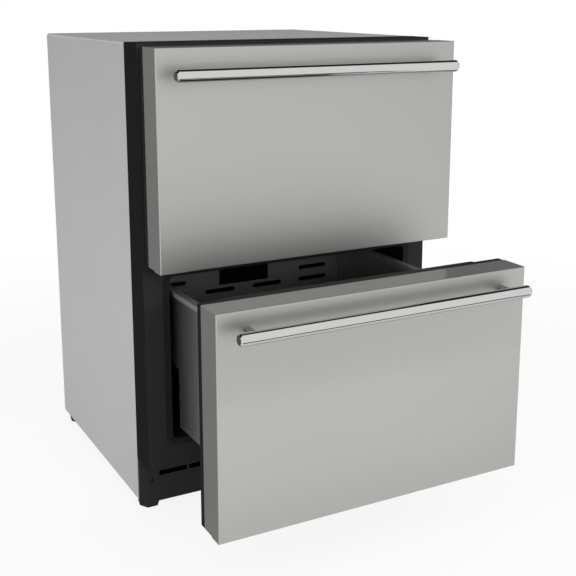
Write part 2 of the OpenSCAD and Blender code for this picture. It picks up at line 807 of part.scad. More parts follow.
cond_fins = 26;

module condenser_coil() color(black) standing() {
    finned_coil(cond_x, cond_y, cond_z, cond_fins, cond_rows);
    // feet of the end plates on the tray
    for (x = [cond_x[0], cond_x[1] - plate_t]) block([x, cond_y[0], pan_top], [x + plate_t, cond_y[1], cond_z[0] + through]);
}

ring_t = 3;
ring_w = 11;
cond_rotor_d = 20;

// motor on a ring that stands on the tray
module condenser_fan_motor() color(zinc) standing() {
    ring_y = cond_motor_y + motor_len;
    translate([cond_fan_x, cond_motor_y, cond_fan_z]) fan_motor(motor_len, cond_fan_r, motor_len + ring_t, cond_rotor_d - 4);
    along_y(ring_y, ring_y + ring_t) difference() {
        union() {
            translate([cond_fan_x, cond_fan_z]) circle(cond_fan_r - ring_t + ring_w);
            rect([cond_fan_x - cond_fan_r / 2, pan_top], [cond_fan_x + cond_fan_r / 2, cond_fan_z]);
        }
        translate([cond_fan_x, cond_fan_z]) circle(cond_fan_r - ring_t);
    }
}

module condenser_fan() color(black) standing() translate([cond_fan_x, cond_motor_y - rotor_gap, cond_fan_z])
    rotor(cond_fan_r, 18, cond_rotor_d, 5, 30, 38);

// shallow dish that catches the defrost water
dish_size = [150, 110, 30];
dish_t = 2;

module drain_pan() color(dark) standing() translate([-in_w + 40, cab_d - dish_size[1] - 59.6, pan_top]) difference() {
    cube(dish_size);
    translate([dish_t, dish_t, dish_t]) cube(dish_size - [2 * dish_t, 2 * dish_t, 0]);
}

drier_x = cond_x[0] - 14;
drier_y = [machine_y - 10, machine_y + 80];
drier_z = row_z(cond_z, cond_rows, 0);
drier_r = 11;
drier_cone = 14;

// copper cylinder with coned ends, in line with the liquid pipe
module filter_drier() color(copper) standing() translate([drier_x, drier_y[0], drier_z]) rotate([-90, 0, 0]) {
    len = drier_y[1] - drier_y[0];
    cylinder(r1 = liquid_r + 1, r2 = drier_r, h = drier_cone);
    translate([0, 0, drier_cone]) cylinder(r = drier_r, h = len - 2 * drier_cone);
    translate([0, 0, len - drier_cone]) cylinder(r1 = drier_r, r2 = liquid_r + 1, h = drier_cone);
}

// suction pipe from the evaporator, discharge pipe to the condenser, and liquid pipe through the drier
module refrigerant_pipes() color(copper) standing() {
    low_tube = row_z(coil_z, coil_rows, 0);
    high_tube = row_z(coil_z, coil_rows, coil_rows - 1);
    rise_x = -coil_x - 16;
    loop_x = comp_x - comp_r - 30;
    under_hump = machine_z - 14;
    suction_z = comp_z + suction_stub_z;
    pipe([[-coil_x, riser_y, low_tube], [rise_x, riser_y, low_tube], [rise_x, riser_y, coil_z[0] - 18],
          [suction_x, riser_y, coil_z[0] - 18], [suction_x, riser_y, under_hump], [loop_x, riser_y, under_hump],
          [loop_x, comp_y, under_hump], [loop_x, comp_y, suction_z], [comp_x - comp_r - stub_len, comp_y, suction_z]],
         suction_r);

    discharge_z = comp_z + discharge_stub_z;
    cond_mid = (cond_y[0] + cond_y[1]) / 2;
    hot_x = cond_x[1] + 12;
    hot_y = cond_y[1] + 45;
    hot_z = row_z(cond_z, cond_rows, cond_rows - 1);
    pipe([[comp_x, comp_y - comp_r - stub_len, discharge_z], [comp_x, hot_y, discharge_z], [comp_x, hot_y, hot_z],
          [hot_x, hot_y, hot_z], [hot_x, cond_mid, hot_z], [cond_x[1], cond_mid, hot_z]], liquid_r);
    pipe([[cond_x[0], cond_mid, drier_z], [drier_x, cond_mid, drier_z], [drier_x, drier_y[0], drier_z]], liquid_r);

    back_x = rise_x - 12;
    turn_y = drier_y[1] + 30;
    turn_z = machine_z - 30;
    pipe([[drier_x, drier_y[1], drier_z], [drier_x, turn_y, drier_z], [drier_x, turn_y, turn_z], [liquid_x, turn_y, turn_z],
          [liquid_x, riser_y, turn_z], [liquid_x, riser_y, coil_z[0] - 33], [back_x, riser_y, coil_z[0] - 33],
          [back_x, riser_y, high_tube], [-coil_x, riser_y, high_tube]], liquid_r);
}

// electronics housing under the ceiling of the machine space
box_size = [110, 40, 54];

module control_box() color("white") standing()
    translate([-30, machine_y + 12, machine_z - box_size[2]]) difference() {
        cube(box_size);
        // joint of its lid
        translate([-through, -through, box_size[2] / 4]) cube([box_size[0] + 2 * through, 3, 2]);
    }

pin_size = [2, 14, 4];
pin_step = 7;
socket_depth = 16;

// appliance inlet in the rear cover: a flange, a body and its three pins
module power_inlet() color(black) standing() translate([inlet_pos[0], back_y, inlet_pos[1]]) {
    difference() {
        union() {
            block([-inlet_size[0] / 2 - 5, 0, -inlet_size[1] / 2 - 4], [inlet_size[0] / 2 + 5, 2, inlet_size[1] / 2 + 4]);
            block([-inlet_size[0] / 2 + 1, -socket_depth - 8, -inlet_size[1] / 2 + 1], [inlet_size[0] / 2 - 1, 1, inlet_size[1] / 2 - 1]);
        }
        block([-inlet_size[0] / 4, -socket_depth, -inlet_size[1] / 4], [inlet_size[0] / 4, 2 + through, inlet_size[1] / 4]);
    }
    for (i = [-1 : 1]) translate([i * pin_step - pin_size[0] / 2, -socket_depth - 1, i == 0 ? -1 : -4]) cube(pin_size);
}

// ---------- runners ----------

// nested channels, drawn for a runner whose axis is x = 0 and whose base is z = 0
outer_in = runner_w / 2 - runner_t;
mid_out = outer_in - runner_play;
mid_neck = outer_in - runner_lip - runner_play;
mid_in = mid_neck - runner_t;
rail_out = mid_in - runner_play;
rail_neck = mid_in - runner_lip - runner_play;

module channel(base_w, neck_w, z0, z1) {
    rect([-base_w, z0], [base_w, z0 + runner_t]);
    for (s = [-1, 1]) rect([min(s * neck_w, s * (neck_w - runner_t)), z0], [max(s * neck_w, s * (neck_w - runner_t)), z1]);
}

module outer_section() {
    channel(runner_w / 2, runner_w / 2, 0, member_h);
    for (s = [-1, 1]) rect([min(s * outer_in, s * (outer_in - runner_lip)), member_h - runner_t],
                           [max(s * outer_in, s * (outer_in - runner_lip)), member_h]);
}

middle_low = runner_t + runner_play;
middle_high = member_h + 1.5;

module middle_section() {
    channel(mid_out, mid_neck, middle_low, middle_high);
    for (s = [-1, 1]) rect([min(s * mid_in, s * (mid_in - runner_lip)), middle_high - runner_t],
                           [max(s * mid_in, s * (mid_in - runner_lip)), middle_high]);
}

module inner_section() {
    channel(rail_out, rail_neck, middle_low + runner_t + runner_play, runner_h - runner_t);
    rect([-runner_w / 2, runner_h - runner_t], [runner_w / 2, runner_h]);
}

module runner_pair(y0, y1, z) both_sides() translate([runner_x, 0, z]) along_y(y0, y1) children();

wing = cav_w - runner_x;
wing_drop = 26;

// fixed members of the upper drawer, each with a wing out to the cavity's side wall
module upper_slide_outer() color(zinc) standing() {
    runner_pair(runner_front, runner_rear, upper_runner_z) outer_section();
    runner_pair(10, runner_rear, upper_runner_z) {
        rect([runner_w / 2, 0], [wing - seat, runner_t]);
        rect([wing - seat - runner_t, -wing_drop], [wing - seat, runner_t]);
    }
}

module upper_slide_middle() color(zinc) standing()
    runner_pair(runner_front, runner_rear, upper_runner_z) middle_section();

module upper_slide_inner() color(zinc) standing()
    runner_pair(inner_y, runner_rear, upper_runner_z) inner_section();

// fixed members of the lower drawer, screwed flat on the hump
module lower_slide_outer() color(dark) standing()
    runner_pair(hump_y + 2, hump_runner[1], hump_z) {
        outer_section();
        rect([runner_w / 2, 0], [runner_w / 2 + 12, runner_t]);
    }

module lower_slide_middle() color(dark) translate([0, -pulled / 2, 0]) standing()
    runner_pair(hump_y + 2, hump_runner[1], hump_z) middle_section();

module lower_slide_inner() color(dark) opened()
    runner_pair(hump_runner[0], hump_runner[1], hump_z) inner_section();

// ---------- drawer fronts ----------

// body of a front, taken in by g from its outer faces and up to y at the back; its hem steps up below
module front_body(g, y, z0, z1, r) difference() {
    nosed_block(front_w - g, face_y + g, y, z0 + g, z1 - g, r);
    block([-half_w, skin_y - hem_d - g, z0 - through], [half_w, skin_y + 2 * through, z0 + hem_step + g]);
}

module front_skin(z0, z1) color(steel) difference() {
    front_body(0, skin_y, z0, z1, edge_r);
    front_body(skin_t, skin_y + through, z0, z1, edge_r - skin_t);
}

module front_foam(z0, z1) color(foam)
    front_body(skin_t + seat, skin_y - seat, z0, z1, edge_r - skin_t - seat / 2);

// black inner panel that closes the steel front at the back
module front_liner(z0, z1) color(black)
    along_y(skin_y, inner_y) round_rect([-front_w + 0.3, z0 + 0.3], [front_w - 0.3, z1 - 0.3], edge_r);

// folded seal: a square ring with a groove round its outer side
module gasket(o) color(black) difference() {
    gasket_out = gasket_in + gasket_w;
    along_y(inner_y, gasket_y) round_rect([-open_w - gasket_out, o[0] - gasket_out], [open_w + gasket_out, o[1] + gasket_out], opening_r + gasket_out);
    along_y(inner_y - through, gasket_y + through)
        round_rect([-open_w - gasket_in, o[0] - gasket_in], [open_w + gasket_in, o[1] + gasket_in], opening_r + gasket_in);
    along_y(inner_y + gasket_t / 2 - 1.5, inner_y + gasket_t / 2 + 1.5) difference() {
        rect([-half_w - through, o[0] - 2 * gasket_out], [half_w + through, o[1] + 2 * gasket_out]);
        round_rect([-open_w - gasket_out + 2, o[0] - gasket_out + 2], [open_w + gasket_out - 2, o[1] + gasket_out - 2],
                   opening_r + gasket_out - 2);
    }
}

// bar with chamfered ends
module handle_bar(z) color(bright) translate([0, face_y - bar_reach, z]) rotate([0, 90, 0]) rotate_extrude()
    polygon([[0, -bar_len / 2], [bar_d / 2 - bar_chamfer, -bar_len / 2], [bar_d / 2, -bar_len / 2 + bar_chamfer],
             [bar_d / 2, bar_len / 2 - bar_chamfer], [bar_d / 2 - bar_chamfer, bar_len / 2], [0, bar_len / 2]]);

// posts between the face and the bar, hollowed to the bar's round
module handle_posts(z) color(bright) difference() {
    for (s = [-1, 1]) translate([s * (bar_len / 2 - post_inset), face_y, z]) rotate([90, 0, 0]) cylinder(r = post_d / 2, h = bar_reach);
    translate([-bar_len / 2, face_y - bar_reach, z]) rotate([0, 90, 0]) cylinder(r = bar_d / 2 + 0.05, h = bar_len);
}

// ---------- tubs ----------

// double-walled side with its rim, open below; section for the right-hand side
module side_section(rim, low) difference() {
    union() {
        rect([well_x, low], [side_x, rim - rim_fold]);
        round_rect([well_x, rim - rim_h], [rim_x, rim], rim_fold);
    }
    rect([well_x + tub_sheet, low - through], [side_x - tub_sheet, rim - rim_h / 2]);
    round_rect([well_x + tub_sheet, rim - rim_h + tub_sheet], [rim_x - tub_sheet, rim - tub_sheet], rim_fold - tub_sheet);
}

module upper_side() color(steel) along_y(inner_y + seat, tub_back_y - floor_t) side_section(upper_rim, upper_floor + floor_t);

module lower_side() color(steel) {
    along_y(inner_y + seat, deep_y) side_section(lower_rim, lower_floor + floor_t);
    along_y(deep_y, tub_back_y - floor_t) side_section(lower_rim, shelf_z + floor_t);
}

module slot_field(low, high, back_low) {
    for (i = [-1.5 : 1.5], j = [0 : floor((high - back_low - slot_first - slot_h - 8) / slot_step_z)]) {
        z = back_low + slot_first + j * slot_step_z;
        if (abs(i) > 1 || z < low - slot_h - 1)
            translate([i * slot_step_x, z]) round_rect([-slot_w / 2, -slot_h / 2], [slot_w / 2, slot_h / 2], slot_h / 3);
    }
}

// slotted back with a rectangular cut-out near its top
module tub_back(rim, low) color(dark) along_y(tub_back_y - floor_t, tub_back_y) {
    port_low = rim - 16 - port_h;
    difference() {
        rect([-side_x, low], [side_x, rim]);
        slot_field(port_low, rim, low);
        rect([-port_w / 2, port_low], [port_w / 2, port_low + port_h]);
    }
}

module upper_tub_floor() color(dark) standing()
    block([-side_x, inner_y + seat, upper_floor], [side_x, tub_back_y - floor_t, upper_floor + floor_t]);

// stepped floor that rides over the hump when the drawer is closed
module lower_tub_floor() color(dark) opened() along_x(-side_x, side_x) {
    rect([inner_y + seat, lower_floor], [deep_y + floor_t, lower_floor + floor_t]);
    rect([deep_y, lower_floor], [deep_y + floor_t, shelf_z + floor_t]);
    rect([deep_y, shelf_z], [tub_back_y - floor_t, shelf_z + floor_t]);
}

module upper_tub_back() standing() tub_back(upper_rim, upper_floor);

module lower_tub_back() opened() tub_back(lower_rim, shelf_z);

module upper_tub_side_left() standing() mirror([1, 0, 0]) upper_side();

module upper_tub_side_right() standing() upper_side();

module lower_tub_side_left() opened() mirror([1, 0, 0]) lower_side();

module lower_tub_side_right() opened() lower_side();

// ---------- the two drawers' fronts ----------

module upper_front_skin() standing() front_skin(upper_low, upper_top);

module upper_front_foam() standing() front_foam(upper_low, upper_top);

module upper_front_liner() standing() front_liner(upper_low, upper_top);

module upper_gasket() standing() gasket(upper_open);

module upper_handle_bar() standing() handle_bar(upper_top - upper_bar_drop);

module upper_handle_posts() standing() handle_posts(upper_top - upper_bar_drop);

module lower_front_skin() opened() front_skin(front_low, lower_top);

module lower_front_foam() opened() front_foam(front_low, lower_top);

module lower_front_liner() opened() front_liner(front_low, lower_top);

module lower_gasket() opened() gasket(lower_open);

module lower_handle_bar() opened() handle_bar(lower_top - lower_bar_drop);

module lower_handle_posts() opened() handle_posts(lower_top - lower_bar_drop);

side_panel_left();
side_panel_right();
top_panel();
back_panel();
machine_cover();
panel_screws();
base_pan();
foot_nuts();
cabinet_foam();
inner_liner();
front_frame();
opening_trims();
toe_grille();
control_panel();
led_bars();
temperature_sensor();
evaporator_cover();
evaporator_coil();
evaporator_fan_motor();
evaporator_fan();
compressor();
compressor_mounts();
condenser_coil();
condenser_fan_motor();
condenser_fan();
drain_pan();
filter_drier();
refrigerant_pipes();
control_box();
power_inlet();
upper_slide_outer();
upper_slide_middle();
upper_slide_inner();
lower_slide_outer();
lower_slide_middle();
lower_slide_inner();
upper_front_skin();
upper_front_foam();
upper_front_liner();
upper_gasket();
upper_handle_bar();
upper_handle_posts();
upper_tub_side_left();
upper_tub_side_right();
upper_tub_floor();
upper_tub_back();
lower_front_skin();
lower_front_foam();
lower_front_liner();
lower_gasket();
lower_handle_bar();
lower_handle_posts();
lower_tub_side_left();
lower_tub_side_right();
lower_tub_floor();
lower_tub_back();
foot_front_left();
foot_front_right();
foot_rear_left();
foot_rear_right();
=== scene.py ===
"""Finishes, fine pieces, studio and camera for the undercounter drawer refrigerator."""

import json
import math

import bmesh
import bpy
from bpy.props import FloatProperty, FloatVectorProperty, PointerProperty
from mathutils import Matrix, Vector


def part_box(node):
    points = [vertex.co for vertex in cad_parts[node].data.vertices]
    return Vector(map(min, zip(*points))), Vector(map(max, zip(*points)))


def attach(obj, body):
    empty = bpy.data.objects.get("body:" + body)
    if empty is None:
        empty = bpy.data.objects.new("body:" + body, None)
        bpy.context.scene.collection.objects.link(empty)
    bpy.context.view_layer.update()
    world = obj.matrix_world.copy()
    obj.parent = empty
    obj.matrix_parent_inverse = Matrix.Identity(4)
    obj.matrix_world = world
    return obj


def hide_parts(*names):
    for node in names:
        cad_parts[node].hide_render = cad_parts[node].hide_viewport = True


bl_info = {
    "name": "Drawer refrigerator",
    "version": (1, 0, 0),
    "blender": (4, 5, 0),
    "location": "View3D > Sidebar > Refrigerator",
    "description": "Finishes, fine pieces, studio and camera for an undercounter drawer refrigerator",
    "category": "Object",
}

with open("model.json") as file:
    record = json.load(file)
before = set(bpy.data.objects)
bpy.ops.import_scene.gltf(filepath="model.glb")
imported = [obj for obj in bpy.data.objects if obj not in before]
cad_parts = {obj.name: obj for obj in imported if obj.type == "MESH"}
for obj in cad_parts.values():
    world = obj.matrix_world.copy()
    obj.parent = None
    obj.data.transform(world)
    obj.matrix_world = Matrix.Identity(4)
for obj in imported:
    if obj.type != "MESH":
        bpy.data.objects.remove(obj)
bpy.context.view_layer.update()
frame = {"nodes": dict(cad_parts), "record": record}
nodes = frame["nodes"]
slot_of = {part["node"]: part["material_slot"] for part in frame["record"]["subparts"]}
colour_of = {m["slot"]: tuple(m["base_color"]) for m in frame["record"]["materials"]}
body_of = {n: body for body, members in frame["record"]["behaviour"]["bodies"].items() for n in members}

# heights between which the rims of the two tubs lie
RIM_DEPTH, RIM_SLACK = 0.0103, 0.0002
RIMS = [(top - RIM_DEPTH, top + RIM_SLACK)
        for top in (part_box(drawer + "_tub_side_left")[1][2] for drawer in ("upper", "lower"))]
# pieces behind this plane are at the rear of the machine space
REAR = 0.2
# vertices closer than this are one
WELD = 2e-6


# ---------------------------------------------------------------- shader sums

class Signal:
    """A shader socket that can stand in a Python sum: each operator adds one Math node."""

    def __init__(self, board, socket):
        self.board = board
        self.socket = socket

    def math(self, operation, other=None, first=0):
        """This signal in one input of a Math node, and the other value, if there is one, in the next."""
        values = {first: self} if other is None else {first: self, 1 - first: other}
        return self.board.node("ShaderNodeMath", {"operation": operation}, values)

    def __add__(self, other):
        return self.math("ADD", other)

    __radd__ = __add__

    def __sub__(self, other):
        return self.math("SUBTRACT", other)

    def __rsub__(self, other):
        return self.math("SUBTRACT", other, 1)

    def __mul__(self, other):
        return self.math("MULTIPLY", other)

    __rmul__ = __mul__

    def above(self, level):
        return self.math("GREATER_THAN", level)

    def size(self):
        return self.math("ABSOLUTE")

    def between(self, low, high, start=0.0, end=1.0):
        """This signal's low..high drawn smoothly onto start..end."""
        return self.board.node("ShaderNodeMapRange", {"interpolation_type": "SMOOTHSTEP"},
                               {"Value": self, "From Min": low, "From Max": high, "To Min": start, "To Max": end},
                               "Result")


class Board:
    """The nodes of one material, from its coordinates to its shader."""

    def __init__(self, name):
        self.material = bpy.data.materials.new(name)
        self.material.use_nodes = True
        self.tree = self.material.node_tree
        self.shader = self.tree.nodes["Principled BSDF"]
        self.coordinates = None

    def put(self, socket, value):
        if isinstance(value, Signal):
            value = value.socket
        if isinstance(value, bpy.types.NodeSocket):
            self.tree.links.new(value, socket)
        elif hasattr(value, "__len__") and socket.type == "RGBA" and len(value) == 3:
            socket.default_value = (*value, 1.0)
        else:
            socket.default_value = value

    def node(self, kind, settings=(), values=(), output=0):
        """Adds a node: first its settings, then the values or links of its sockets."""
        node = self.tree.nodes.new(kind)
        for key, value in dict(settings).items():
            setattr(node, key, value)
        for key, value in dict(values).items():
            self.put(node.inputs[key], value)
        return Signal(self, node.outputs[output])

    def set(self, **values):
        for key, value in values.items():
            self.put(self.shader.inputs[key.replace("_", " ")], value)

    def surface(self, shader):
        """Makes a shader the material's surface."""
        self.tree.links.new(shader.socket, self.tree.nodes["Material Output"].inputs["Surface"])

    def place(self):
        """The object's own coordinates."""
        if self.coordinates is None:
            self.coordinates = self.node("ShaderNodeTexCoord", output="Object")
        return self.coordinates

    def split(self, vector):
        """The three parts of a vector."""
        parts = self.node("ShaderNodeSeparateXYZ", values={0: vector}).socket.node.outputs
        return [Signal(self, part) for part in parts]

    def facing(self):
        """How far a face points along each axis, either way."""
        return [part.size() for part in self.split(self.node("ShaderNodeNewGeometry", output="True Normal"))]

    def noise(self, scale, detail=3.0, roughness=0.55):
        """Noise over the object, at one scale or at one for each axis."""
        place = self.place()
        if isinstance(scale, tuple):
            place, scale = self.node("ShaderNodeVectorMath", {"operation": "MULTIPLY"}, {0: place, 1: scale}), 1.0
        return self.node("ShaderNodeTexNoise", {"noise_dimensions": "3D"},
                         {"Vector": place, "Scale": scale, "Detail": detail, "Roughness": roughness})

    def cells(self, scale, output="Distance"):
        return self.node("ShaderNodeTexVoronoi", {"feature": "F1"}, {"Vector": self.place(), "Scale": scale}, output)

    def shade(self, colour, level):
        """A colour made lighter or darker by a signal around 1."""
        return self.node("ShaderNodeVectorMath", {"operation": "SCALE"}, {0: colour, "Scale": level})

    def bump(self, height, depth, strength):
        return self.node("ShaderNodeBump", values={"Height": height, "Distance": depth, "Strength": strength})

    def mix(self, share, a, b, colours=False):
        """Goes from a to b by a share. The Mix node has a set of sockets for each kind, found here by place."""
        node = self.tree.nodes.new("ShaderNodeMix")
        node.data_type = "RGBA" if colours else "FLOAT"
        for index, value in zip((0, 6, 7) if colours else (0, 2, 3), (share, a, b)):
            self.put(node.inputs[index], value)
        return Signal(self, node.outputs[2 if colours else 0])

    def seen(self):
        """1 for the rays by which the camera, a mirror or a clear piece sees, and 0 for the others."""
        camera = self.node("ShaderNodeLightPath", output="Is Camera Ray")
        rays = camera.socket.node.outputs
        return camera.math("MAXIMUM", Signal(self, rays["Is Glossy Ray"])).math(
            "MAXIMUM", Signal(self, rays["Is Transmission Ray"]))


# ---------------------------------------------------------------- finishes

def brushed_steel(board, colour):
    """Stainless sheet, brushed upright; over the folded top and bottom the brushing runs front to back, and their
    colour is darkened as painted shade.
    """
    _, _, up = board.facing()
    fold_with_painted_light = up.above(0.97)
    upright = board.noise((650.0, 650.0, 5.0), 4.0, 0.7)
    deep = board.noise((520.0, 7.0, 520.0), 4.0, 0.75)
    streak = board.mix(fold_with_painted_light, upright, deep)
    cloud = board.noise(5.0, 2.0)
    # painted shade: the folded top and bottom are given a darker colour
    level = 1.1 + (streak - 0.5) * (0.1 + fold_with_painted_light * 0.5) + (cloud - 0.5) * 0.06 - fold_with_painted_light * 0.34
    board.set(Base_Color=board.shade(colour, level), Metallic=1.0,
              Roughness=0.44 - fold_with_painted_light * 0.26 + (streak - 0.5) * 0.12 + (cloud - 0.5) * 0.04,
              Normal=board.bump(streak, 0.00004, 0.5))


def polished_bar(board, colour):
    """Polished tube with faint drawing lines along it and a haze where hands hold it."""
    lines = board.noise((8.0, 900.0, 900.0), 4.0, 0.7)
    haze = board.noise((14.0, 60.0, 60.0))
    board.set(Base_Color=board.shade(colour, 0.97 + lines * 0.06), Metallic=1.0,
              Roughness=0.03 + lines * 0.03 + haze.between(0.5, 0.8) * 0.05, Normal=board.bump(lines, 0.00003, 0.4))


def turned_steel(board, colour, tone):
    """Machined steel, satin, with tool marks; tone darkens its colour as painted shade."""
    marks = board.noise((160.0, 900.0, 160.0), 3.0, 0.7)
    stain = board.noise(70.0)
    board.set(Base_Color=board.shade(colour, tone * (0.85 + marks * 0.2 + stain * 0.1)), Metallic=1.0,
              Roughness=0.2 + marks * 0.12, Normal=board.bump(marks, 0.00005, 0.5))


def tub_sheet(board, colour):
    """Steel of the tubs' sides: satin walls, brushed upright, under a rim brushed front to back."""
    height = board.split(board.place())[2]
    rim = sum(height.above(low) * (1.0 - height.above(high)) for low, high in RIMS)
    grain = board.mix(rim, board.noise((700.0, 700.0, 6.0), 4.0, 0.7), board.noise((700.0, 8.0, 700.0), 4.0, 0.7))
    board.set(Base_Color=board.shade(colour, 1.5 + grain * 0.1), Metallic=1.0 - rim * 0.2,
              Roughness=0.36 - rim * 0.06 + (grain - 0.5) * 0.12, Normal=board.bump(grain, 0.00004, 0.5))


def screw_steel(board, colour):
    """Plated screws; those at the front are blackened."""
    plated = board.split(board.place())[1].above(REAR)
    fine = board.noise(600.0, 2.0)
    board.set(Base_Color=board.shade(colour, (0.02 + plated * 0.98) * (0.95 + fine * 0.1)), Metallic=plated,
              Roughness=0.46 - plated * 0.14 + (fine - 0.5) * 0.1, Normal=board.bump(fine, 0.00004, 0.4))


def satin_sheet(board, colour):
    """Cabinet sheet with a fine mottled skin, and a painted highlight along its folds."""
    _, _, up = board.facing()
    fold_with_painted_light = up.above(0.2) * (1.0 - up.above(0.98))
    skin = board.noise(420.0, 3.0, 0.6)
    mottle = board.noise(26.0, 4.0, 0.6)
    cloud = board.noise(3.0, 2.0)
    # painted highlight: the sloping strips along the folds get a lighter colour
    level = 1.0 + (mottle - 0.5) * 0.07 + (skin - 0.5) * 0.05 + (cloud - 0.5) * 0.05 + fold_with_painted_light * 0.35
    board.set(Base_Color=board.shade(colour, level), Metallic=0.12, Roughness=0.45 + (mottle - 0.5) * 0.14,
              Normal=board.bump(skin, 0.00012, 0.5))


def galvanised(board, colour):
    """Zinc-coated sheet with its spangle."""
    tone = board.node("ShaderNodeSeparateColor", values={0: board.cells(85.0, "Color")})
    fine = board.noise(600.0, 2.0)
    board.set(Base_Color=board.shade(colour, 1.0 + tone * 0.25 + (fine - 0.5) * 0.05), Metallic=0.45,
              Roughness=0.34 + tone * 0.16, Normal=board.bump(fine, 0.00004, 0.4))


def powder_coat(board, colour, rough, shine=0.5, front_painted_light=0.0):
    """Sprayed coat with its fine orange-peel skin; a last value above 0 paints light on the faces that look forward or
    back, making them greyer.
    """
    peel = board.noise(900.0, 2.0)
    cloud = board.noise(14.0)
    level = 0.92 + cloud * 0.16
    if front_painted_light:
        # painted light: the faces that look forward or back get a lighter colour
        _, ahead, _ = board.facing()
        level = level * (1.0 + ahead.above(0.97) * front_painted_light)
    board.set(Base_Color=board.shade(colour, level), Roughness=rough + (cloud - 0.5) * 0.12,
              Specular_IOR_Level=shine, Normal=board.bump(peel, 0.00012, 0.45))


def moulded_plastic(board, colour, rough, skin=0.0001, shine=0.5):
    """Moulded plastic with a faint leathery skin and slightly polished patches."""
    cloud = board.noise(9.0)
    board.set(Base_Color=board.shade(colour, 0.94 + cloud * 0.12), Roughness=rough + (cloud - 0.5) * 0.14,
              Specular_IOR_Level=shine, Normal=board.bump(board.cells(850.0), skin, 0.4))


def soft_vinyl(board, colour):
    """Matt gasket vinyl, a little dusty."""
    dust = board.noise(60.0, 5.0, 0.7)
    board.set(Base_Color=board.shade(colour, 0.85 + dust * 0.35), Roughness=0.62 + dust * 0.2,
              Normal=board.bump(board.noise(1200.0, 2.0), 0.00008, 0.4))


def closed_foam(board, colour):
    """Cut polyurethane foam with its cells."""
    cell = board.cells(700.0)
    lump = board.noise(30.0, 4.0)
    board.set(Base_Color=board.shade(colour, 0.82 + cell * 0.2 + lump * 0.12), Roughness=0.9,
              Normal=board.bump(cell, 0.0006, 0.7))


def drawn_copper(board, colour):
    """Copper tube, bright in the middle and browned in patches."""
    brown = board.noise(38.0, 5.0, 0.65).between(0.45, 0.72)
    board.set(Base_Color=board.mix(brown * 0.6, colour, (0.30, 0.13, 0.07), colours=True),
              Metallic=1.0, Roughness=0.26 + brown * 0.25,
              Normal=board.bump(board.noise(500.0, 2.0), 0.00004, 0.4))


def mill_aluminium(board, colour):
    """Rolled fin stock with its roll lines."""
    lines = board.noise((900.0, 40.0, 900.0), 2.0)
    board.set(Base_Color=board.shade(colour, 0.9 + lines * 0.2), Metallic=1.0,
              Roughness=0.3 + (lines - 0.5) * 0.2, Normal=board.bump(lines, 0.00004, 0.5))


# the finish of each of the record's slots, with its own values
FINISHES = {
    "cabinet_steel": (satin_sheet,),
    "galvanised_steel": (galvanised,),
    "dark_slide_steel": (powder_coat, 0.36),
    "insulation_foam": (closed_foam,),
    "dark_liner": (moulded_plastic, 0.5, 0.0001, 0.14),
    # the black frame's faces that look forward or back are painted 3.3 times lighter: painted light
    "black_frame": (powder_coat, 0.6, 0.05, 2.3),
    "black_toe_grille": (powder_coat, 0.55, 0.2),
    "black_panel": (moulded_plastic, 0.5, 0.0001, 0.12),
    "front_steel": (brushed_steel,),
    "handle_steel": (polished_bar,),
    "gasket_rubber": (soft_vinyl,),
    "tub_steel": (tub_sheet,),
    "tub_black": (powder_coat, 0.42),
    "foot_plastic": (moulded_plastic, 0.5, 0.0002),
    "coil_aluminium": (mill_aluminium,),
    "black_painted_coil": (powder_coat, 0.4),
    "compressor_paint": (powder_coat, 0.28),
    "mount_rubber": (soft_vinyl,),
    "copper_pipe": (drawn_copper,),
    "white_plastic": (moulded_plastic, 0.38),
    "black_plastic": (moulded_plastic, 0.4),
}


def made(slot, name, finish, *values):
    """A material with a finish in the colour of a slot."""
    board = Board("finish_" + name)
    finish(board, tuple(getattr(bpy.context.scene.fridge_colours, slot)), *values)
    return board.material


def finish_of(slot):
    """The material of one of the record's slots, made when it is first asked for."""
    return bpy.data.materials.get("finish_" + slot) or made(slot, slot, *FINISHES[slot])


def coat(piece, material):
    piece.data.materials.clear()
    piece.data.materials.append(material)


# ---------------------------------------------------------------- mesh helpers

def placed(name, shape):
    """Turns a bmesh into an object of the scene."""
    mesh = bpy.data.meshes.new(name)
    shape.to_mesh(mesh)
    shape.free()
    piece = bpy.data.objects.new(name, mesh)
    bpy.context.scene.collection.objects.link(piece)
    return piece


def finished(name, shape, body, slot, *stands_for):
    """Turns a bmesh into a piece that rides on a body and wears the finish of a slot."""
    piece = placed(name, shape)
    coat(piece, finish_of(slot))
    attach(piece, body)
    if stands_for:
        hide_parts(*stands_for)
    return piece


def corners_of(node):
    """The lowest and the highest corner of a node's box."""
    return [Vector(corner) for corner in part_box(node)]


def edges_of(verts):
    """The edges at some vertices, each of them once."""
    return list(dict.fromkeys(e for v in verts for e in v.link_edges))


def verts_of(edges):
    """The vertices of some edges, each of them once."""
    return list(dict.fromkeys(v for e in edges for v in e.verts))


def settle(shape, crease):
    """Merges doubles, points the faces outwards and keeps edges crisp above an angle in degrees."""
    bmesh.ops.remove_doubles(shape, verts=shape.verts, dist=WELD)
    bmesh.ops.recalc_face_normals(shape, faces=shape.faces)
    for face in shape.faces:
        face.smooth = True
    for edge in shape.edges:
        if len(edge.link_faces) == 2:
            edge.smooth = edge.calc_face_angle(0.0) < math.radians(crease)


def rounded(shape, edges, radius, segments=3, clamp=False):
    """Rounds some edges and gives what the bevel made."""
    return bmesh.ops.bevel(shape, geom=edges, offset=radius, offset_type="OFFSET", segments=segments, profile=0.5,
                           affect="EDGES", material=-1, clamp_overlap=clamp)


def reach(face, edge):
    """How far a face goes from one of its edges."""
    start = edge.verts[0].co
    along = (edge.verts[1].co - start).normalized()
    return max(((v.co - start) - along * (v.co - start).dot(along)).length for v in face.verts)


